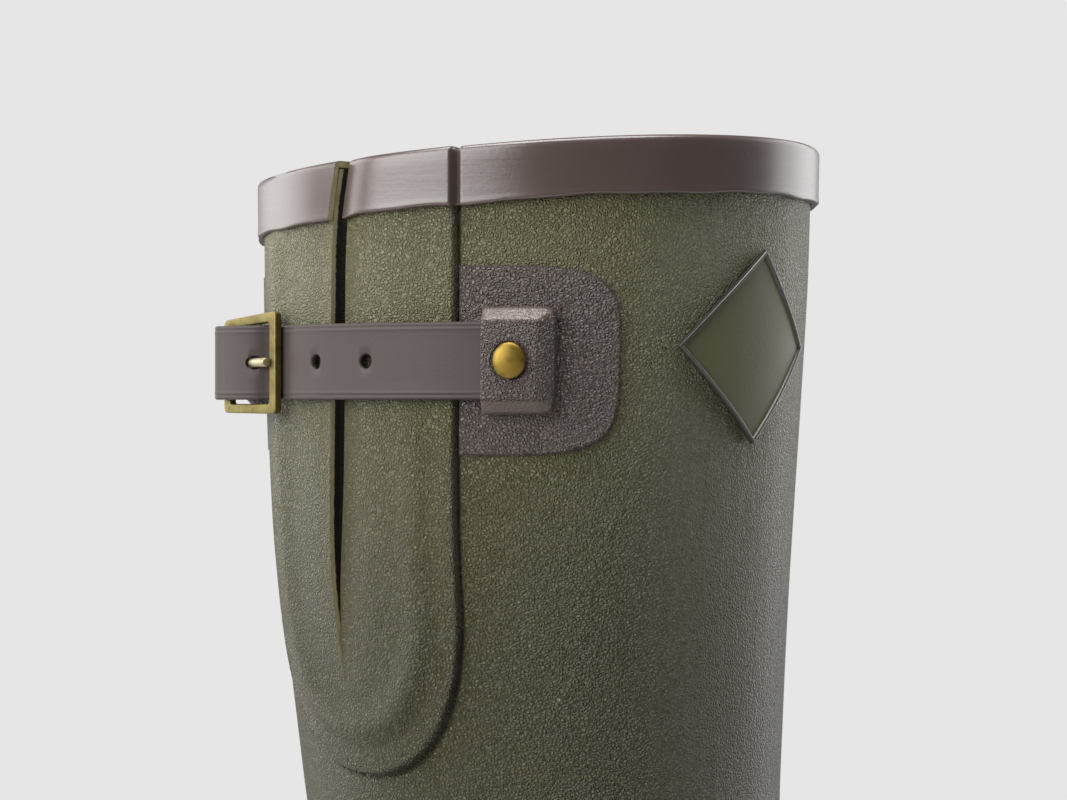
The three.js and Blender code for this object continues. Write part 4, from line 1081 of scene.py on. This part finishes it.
def punch(place, wide, tall):
    """Cuts a hole with an eased rim through the strap at the point of its route nearest a place."""
    index = int(np.argmin(np.linalg.norm(strap_route - place, axis=1)))
    out = strap_normals[index]
    run = unit(np.cross(out, (0, 0, 1)))
    profile = [
        (0, -2.5), (1.35, -2.5), (1.05, -0.85), (0.98, -0.5), (0.98, 0.4), (1.08, 0.72), (1.5, 1.1),
        (1.9, 2.5), (0, 2.5),
    ]
    cutter = spun(profile, 36)
    bmesh.ops.scale(cutter, vec=(wide / 2, tall / 2, 1), verts=cutter.verts)
    bmesh.ops.transform(cutter, matrix=axes_at(strap_route[index], run, (0, 0, 1), out), verts=cutter.verts)
    cut_away(strap_piece, cutter, 50)


for hole_angle in HOLE_ANGLES:
    punch(on_shaft(hole_angle, STRAP_STAND), HOLE_WIDTH, HOLE_WIDTH)
punch(prong_hole, PRONG_HOLE_LENGTH, HOLE_WIDTH - 0.2)

# Buckle
# A flat rectangular frame and its prong, both of cast brass aged to a dull antique finish. The frame hangs
# by a rubber tab from the rear keeper, and the prong goes through the strap and rests on the front bar.
def brass(name, dark, bright, spotted):
    """Aged brass between two colours, with brown spots."""
    finish = Finish(name)
    patina = noise(finish, 260.0, 4.0)
    stain = noise(finish, 520.0, 3.0)
    spots = soft_range(finish, stain, 0.52, 0.66)
    tone = between(finish, patina, dark, bright)
    tone = between(finish, spots * spotted, tone, colour(78, 58, 24))
    finish.surface(tone, 0.36 + 0.22 * patina, 0.5, patina + stain, 0.00006)
    finish.shade({"Metallic": 0.85})
    return finish


frame_brass = brass("aged_brass", colour(70, 62, 26), colour(150, 138, 86), 0.4)
prong_brass = brass("worn_brass", colour(140, 130, 92), colour(204, 196, 164), 0.2)

HINGE_TAPER = 0.09
HINGE_DROP = 0.9
buckle_axes = axes_at(buckle_centre, buckle_along, (0, 0, -1), buckle_out)
buckle = bmesh.new()
blank = Matrix.Diagonal((BUCKLE_LENGTH, BUCKLE_HEIGHT, BUCKLE_THICKNESS, 1))
bmesh.ops.create_cube(buckle, size=1, matrix=blank)
faces = [face for face in buckle.faces if abs(face.normal.z) > 0.9]
bmesh.ops.inset_individual(buckle, faces=faces, thickness=BUCKLE_BAR, use_even_offset=True)
flats = [face for face in buckle.faces if abs(face.normal.z) > 0.9]
middles = [face for face in flats if face.calc_center_median().xy.length < 0.1]
loops = [edge for face in middles for edge in face.edges]
bmesh.ops.delete(buckle, geom=middles, context="FACES_ONLY")
bmesh.ops.bridge_loops(buckle, edges=loops)
bmesh.ops.recalc_face_normals(buckle, faces=buckle.faces)
for reach, offset in ((BUCKLE_LENGTH / 2 - 0.1, 1.3), (0, 0.7)):
    corners = [
        edge for edge in buckle.edges
        if abs(edge.verts[0].co.z - edge.verts[1].co.z) > 1
        and len(edge.link_faces) == 2
        and edge.calc_face_angle() > 1
        and abs(edge.verts[0].co.x) > reach
    ]
    bmesh.ops.bevel(buckle, geom=corners, offset=offset, segments=5, profile=0.5, affect="EDGES", material=-1)
rims = [edge for edge in buckle.edges if len(edge.link_faces) == 2 and edge.calc_face_angle() > 1]
bmesh.ops.bevel(buckle, geom=rims, offset=0.3, segments=3, profile=0.5, affect="EDGES", material=-1)
for vert in buckle.verts:
    back = 0.5 + vert.co.x / BUCKLE_LENGTH
    vert.co.y = vert.co.y * (1 - HINGE_TAPER * back) + HINGE_DROP * back
bmesh.ops.transform(buckle, matrix=buckle_axes, verts=buckle.verts)
make_piece("brass_buckle_frame", buckle, [frame_brass], "buckle_frame", 60)

PRONG_RADIUS = 1.1
PRONG_EYE_HALF = 1.7
PRONG_EYE_BORE = 1.75
PRONG_EYE_RADIUS = 2.85
prong_start = Vector((BAR_OFFSET - BUCKLE_BAR / 2 - GAP - TAB_THICKNESS / 2, 0, 0))
prong_end = Vector((-BAR_OFFSET + BUCKLE_BAR / 2 - 0.8, 0, BAR_TOP + GAP + PRONG_RADIUS))
arm = prong_end - prong_start
prong = spun([
    (0, 0),
    (PRONG_RADIUS, 0),
    (PRONG_RADIUS, arm.length - 0.25),
    (PRONG_RADIUS - 0.08, arm.length - 0.08),
    (PRONG_RADIUS - 0.25, arm.length),
    (0, arm.length),
], 28)
bmesh.ops.transform(
    prong,
    matrix=Matrix.Translation(prong_start) @ arm.to_track_quat("Z", "Y").to_matrix().to_4x4(),
    verts=prong.verts,
)
eye = spun([
    (PRONG_EYE_BORE, -PRONG_EYE_HALF),
    (PRONG_EYE_RADIUS - 0.2, -PRONG_EYE_HALF),
    (PRONG_EYE_RADIUS, 0.2 - PRONG_EYE_HALF),
    (PRONG_EYE_RADIUS, PRONG_EYE_HALF - 0.2),
    (PRONG_EYE_RADIUS - 0.2, PRONG_EYE_HALF),
    (PRONG_EYE_BORE, PRONG_EYE_HALF),
    (PRONG_EYE_BORE, -PRONG_EYE_HALF),
], 32)
bmesh.ops.scale(eye, vec=(1.0, 0.9, 1), verts=eye.verts)
bmesh.ops.transform(
    eye,
    matrix=Matrix.Translation((BAR_OFFSET, 0, 0)) @ Matrix.Rotation(math.pi / 2, 4, "X"),
    verts=eye.verts,
)
eye_data = mesh_data("eye", eye)
prong.from_mesh(eye_data)
bpy.data.meshes.remove(eye_data)
bmesh.ops.transform(prong, matrix=buckle_axes, verts=prong.verts)
make_piece("brass_prong", prong, [prong_brass], "buckle_prong", 40)

# Rivet
# A low brass dome that holds the strap's end in the front keeper, sunk a little into the rubber round it.
RIVET_RADIUS = 4.2
RIVET_DOME = 1.35
rivet_brass = brass("rivet_brass", colour(84, 66, 18), colour(158, 132, 58), 0.5)
rivet_angle = FRONT_EDGE - FRONT_MOUTH - RIVET_SETBACK
rivet_out = level_normal(ring_at(rivet_angle, STRAP_HEIGHT), rivet_angle)[0]
rivet_profile = [(0, -0.9), (RIVET_RADIUS - 0.2, -0.9), (RIVET_RADIUS, -0.2), (RIVET_RADIUS, 0.25)]
rivet_profile += [
    (RIVET_RADIUS * math.cos(math.radians(turn)), 0.35 + RIVET_DOME * math.sin(math.radians(turn)))
    for turn in range(6, 90, 7)
]
rivet = spun(rivet_profile + [(0, 0.35 + RIVET_DOME)], 48)
bmesh.ops.scale(rivet, vec=(1, RIVET_OVAL, 1), verts=rivet.verts)
rivet_side = unit(np.cross(rivet_out, (0, 0, 1)))
rivet_axes = axes_at(on_shaft(rivet_angle, keeper_top(STRAP_THICKNESS)), (0, 0, 1), rivet_side, rivet_out)
bmesh.ops.transform(rivet, matrix=rivet_axes, verts=rivet.verts)
make_piece("brass_rivet", rivet, [rivet_brass], "rivet", 50)

# Buckle tab
# A short strip of the strap's rubber, folded round the hinge bar and gripped in the rear keeper, slotted in
# the middle for the prong's eye.
LOOP_RADIUS = 1.75
TAB_SLOT = 11
fold = [
    from_buckle(BAR_OFFSET + LOOP_RADIUS * math.cos(turn), (LOOP_RADIUS - 0.15) * math.sin(turn))
    for turn in np.radians(np.arange(300, 40, -32))
]
tab_route = smooth_route([
    on_shaft(REAR_EDGE + REAR_MOUTH + 7, STRAP_STAND),
    on_shaft(REAR_EDGE + REAR_MOUTH + 3, STRAP_STAND),
    on_shaft(REAR_EDGE + REAR_MOUTH - 0.6, STRAP_STAND),
    from_buckle(BAR_OFFSET + 3.2, -3.4),
    *fold,
], 600)
tab_normals = route_normals(tab_route)
tab_section = np.array([
    (0, 0.3), (7.7, 0.3), (7.9, 0.25), (8.0, 0.1), (8.0, -0.1), (7.9, -0.25), (7.7, -0.3), (0, -0.3),
    (-7.7, -0.3), (-7.9, -0.25), (-8.0, -0.1), (-8.0, 0.1), (-7.9, 0.25), (-7.7, 0.3), (0, 0.3),
])


def tab_place(across, around):
    points = pick_along(tab_route, across)
    points = points + pick_along(tab_normals, across) * spaced(around, tab_section[:, 1])[:, None]
    points[:, 2] = STRAP_HEIGHT + spaced(around, tab_section[:, 0])
    return points


tab = bmesh.new()
add_sheet(tab, 110, len(tab_section) - 1, tab_place)
close_ends(tab)
tab_piece = make_piece("buckle_tab_strip", tab, [taupe_rubber], "buckle_tab", 50)
slot = bmesh.new()
slot_place = Matrix.Translation((BAR_OFFSET - 1.4, 0, 0)) @ Matrix.Diagonal((TAB_SLOT, 4, 12, 1))
bmesh.ops.create_cube(slot, size=1, matrix=slot_place)
bmesh.ops.transform(slot, matrix=buckle_axes, verts=slot.verts)
cut_away(tab_piece, slot, 50)

# Badge
# A bare diamond plate of smooth rubber with a thin raised rim, cured to the front of the shaft.
BADGE_ANGLE = 9.5
BADGE_HALF_ANGLE = 21
BADGE_HEIGHT = BOOT_HEIGHT - 49.4
BADGE_HALF_HEIGHT = 23
BADGE_HALF_SIDE = 19.5
BADGE_RIM = 0.65

badge_field = Finish("badge_field")
field_cloud = noise(badge_field, 90.0, 3.0)
field_grain = noise(badge_field, 1500.0)
tone = between(badge_field, field_cloud, colour(76, 73, 50), colour(88, 85, 60))
badge_field.surface(tone, 0.5 + 0.1 * field_cloud, 0.35, field_grain + field_cloud, 0.00004)
badge_rim = Finish("badge_rim")
rim_cloud = noise(badge_rim, 400.0, 3.0)
tone = between(badge_rim, rim_cloud, colour(36, 35, 30), colour(52, 50, 43))
badge_rim.surface(tone, 0.24 + 0.1 * rim_cloud, 0.7, rim_cloud, 0.00005)

badge_lines = joined((-1, -0.92, 10), (-0.92, 0.92, 24), (0.92, 1, 10))


def badge_place(across, up):
    p = spaced(across, badge_lines)
    q = spaced(up, badge_lines)
    edge = (1 - np.maximum(np.abs(p), np.abs(q))) * BADGE_HALF_SIDE
    ridge = np.sqrt(np.maximum(1 - (edge / BADGE_RIM - 1) ** 2, 0))
    stand = np.where(edge < BADGE_RIM, 0.4 + 1.2 * ridge, 0.85 + 0.75 * ridge)
    t = (p + q) / 2
    angle = BADGE_ANGLE + (p - q) / 2 * BADGE_HALF_ANGLE - 1.35 * t ** 2 - 0.75 * t ** 3
    return shaft_point(angle, BADGE_HEIGHT + t * BADGE_HALF_HEIGHT, stand)


badge = bmesh.new()
badge_shares = add_sheet(badge, len(badge_lines) - 1, len(badge_lines) - 1, badge_place)
edge_of = mark(badge, "edge", 1 - np.abs(spaced(badge_shares, badge_lines)).max(axis=1))
turn_outward(badge)
for face in badge.faces:
    face.material_index = 1 if min(vert[edge_of] for vert in face.verts) < 0.06 else 0
bmesh.ops.solidify(badge, geom=badge.faces, thickness=0.0005)
make_piece("blank_badge", badge, [badge_field, badge_rim], "badge", 50)

# Studio
# A pale floor that fades into an even pale surround, soft light boxes at both sides, behind and overhead, and
# the camera at the photograph's angle, level with the strap.
bpy.context.scene.view_settings.view_transform = "Standard"
surround = Finish("studio_surround", bpy.data.worlds, "Background")
surround.shade({"Color": colour(230, 230, 230)})
dim_room = surround.node("ShaderNodeBackground", {}, {"Color": (0.11, 0.11, 0.11, 1)})
seen = surround.node("ShaderNodeLightPath", {}, {}, "Is Camera Ray")
pale_room = Signal(surround, surround.shader.outputs["Background"])
room = surround.node("ShaderNodeMixShader", {}, {0: seen, 1: dim_room, 2: pale_room})
surround.feed(surround.tree.nodes["World Output"].inputs["Surface"], room)
bpy.context.scene.world = surround.material

FLOOR_RADIUS = 1.5
floor_paint = Finish("floor_paint")
speckle = noise(floor_paint, 3.0)
outward = floor_paint.node("ShaderNodeVectorMath", {"operation": "LENGTH"}, {0: floor_paint.place}, "Value")
floor_paint.shade({
    "Base Color": between(floor_paint, speckle, (0.52, 0.52, 0.52, 1), (0.54, 0.54, 0.54, 1)),
    "Roughness": 0.9,
    "Specular IOR Level": 0.0,
    "Alpha": soft_range(floor_paint, outward, 0.45, FLOOR_RADIUS, 1.0, 0.0),
})
ground = bmesh.new()
bmesh.ops.create_circle(ground, cap_ends=True, segments=96, radius=FLOOR_RADIUS)
ground_data = mesh_data("floor", ground)
ground_data.materials.append(floor_paint.material)
floor = bpy.data.objects.new("floor", ground_data)
link(floor)

TARGET = Vector((-0.0845, 0.0009, 0.340))
RIGHT = Vector((0.848, 0.530, 0))
TOWARDS = Vector((0.530, -0.848, 0))


def light_box(name, turn, distance, rise, width, height, glow):
    """A soft box turned about the boot from the camera's side, right being positive."""
    turn = math.radians(turn)
    lamp = bpy.data.lights.new(name, "AREA")
    lamp.shape = "RECTANGLE"
    lamp.size = width
    lamp.size_y = height
    lamp.energy = glow * math.pi * width * height
    box = bpy.data.objects.new(name, lamp)
    aside = TOWARDS * math.cos(turn) + RIGHT * math.sin(turn)
    box.location = TARGET + distance * aside + Vector((0, 0, rise))
    box.rotation_euler = (TARGET - box.location).to_track_quat("-Z", "Y").to_euler()
    box.visible_camera = False
    link(box)


# Turn in degrees, distance, rise, width, height and glow.
light_box("left_box", -53, 1.4, 0.55, 1.6, 1.2, 7.2)
light_box("left_back_box", -120, 1.5, 0.3, 1.3, 1.5, 3.2)
light_box("right_back_box", 126, 1.5, 0.3, 1.4, 1.5, 3.0)
light_box("top_box", -15, 0.12, 1.1, 1.1, 0.6, 11.0)

lens = bpy.data.cameras.new("camera")
lens.lens = 103.8
lens.sensor_width = 36
lens.clip_start = 0.05
lens.clip_end = 200
camera = bpy.data.objects.new("camera", lens)
camera.location = (0.3235, -0.6521, 0.340)
camera.rotation_euler = (TARGET - camera.location).to_track_quat("-Z", "Y").to_euler()
link(camera)
bpy.context.scene.camera = camera
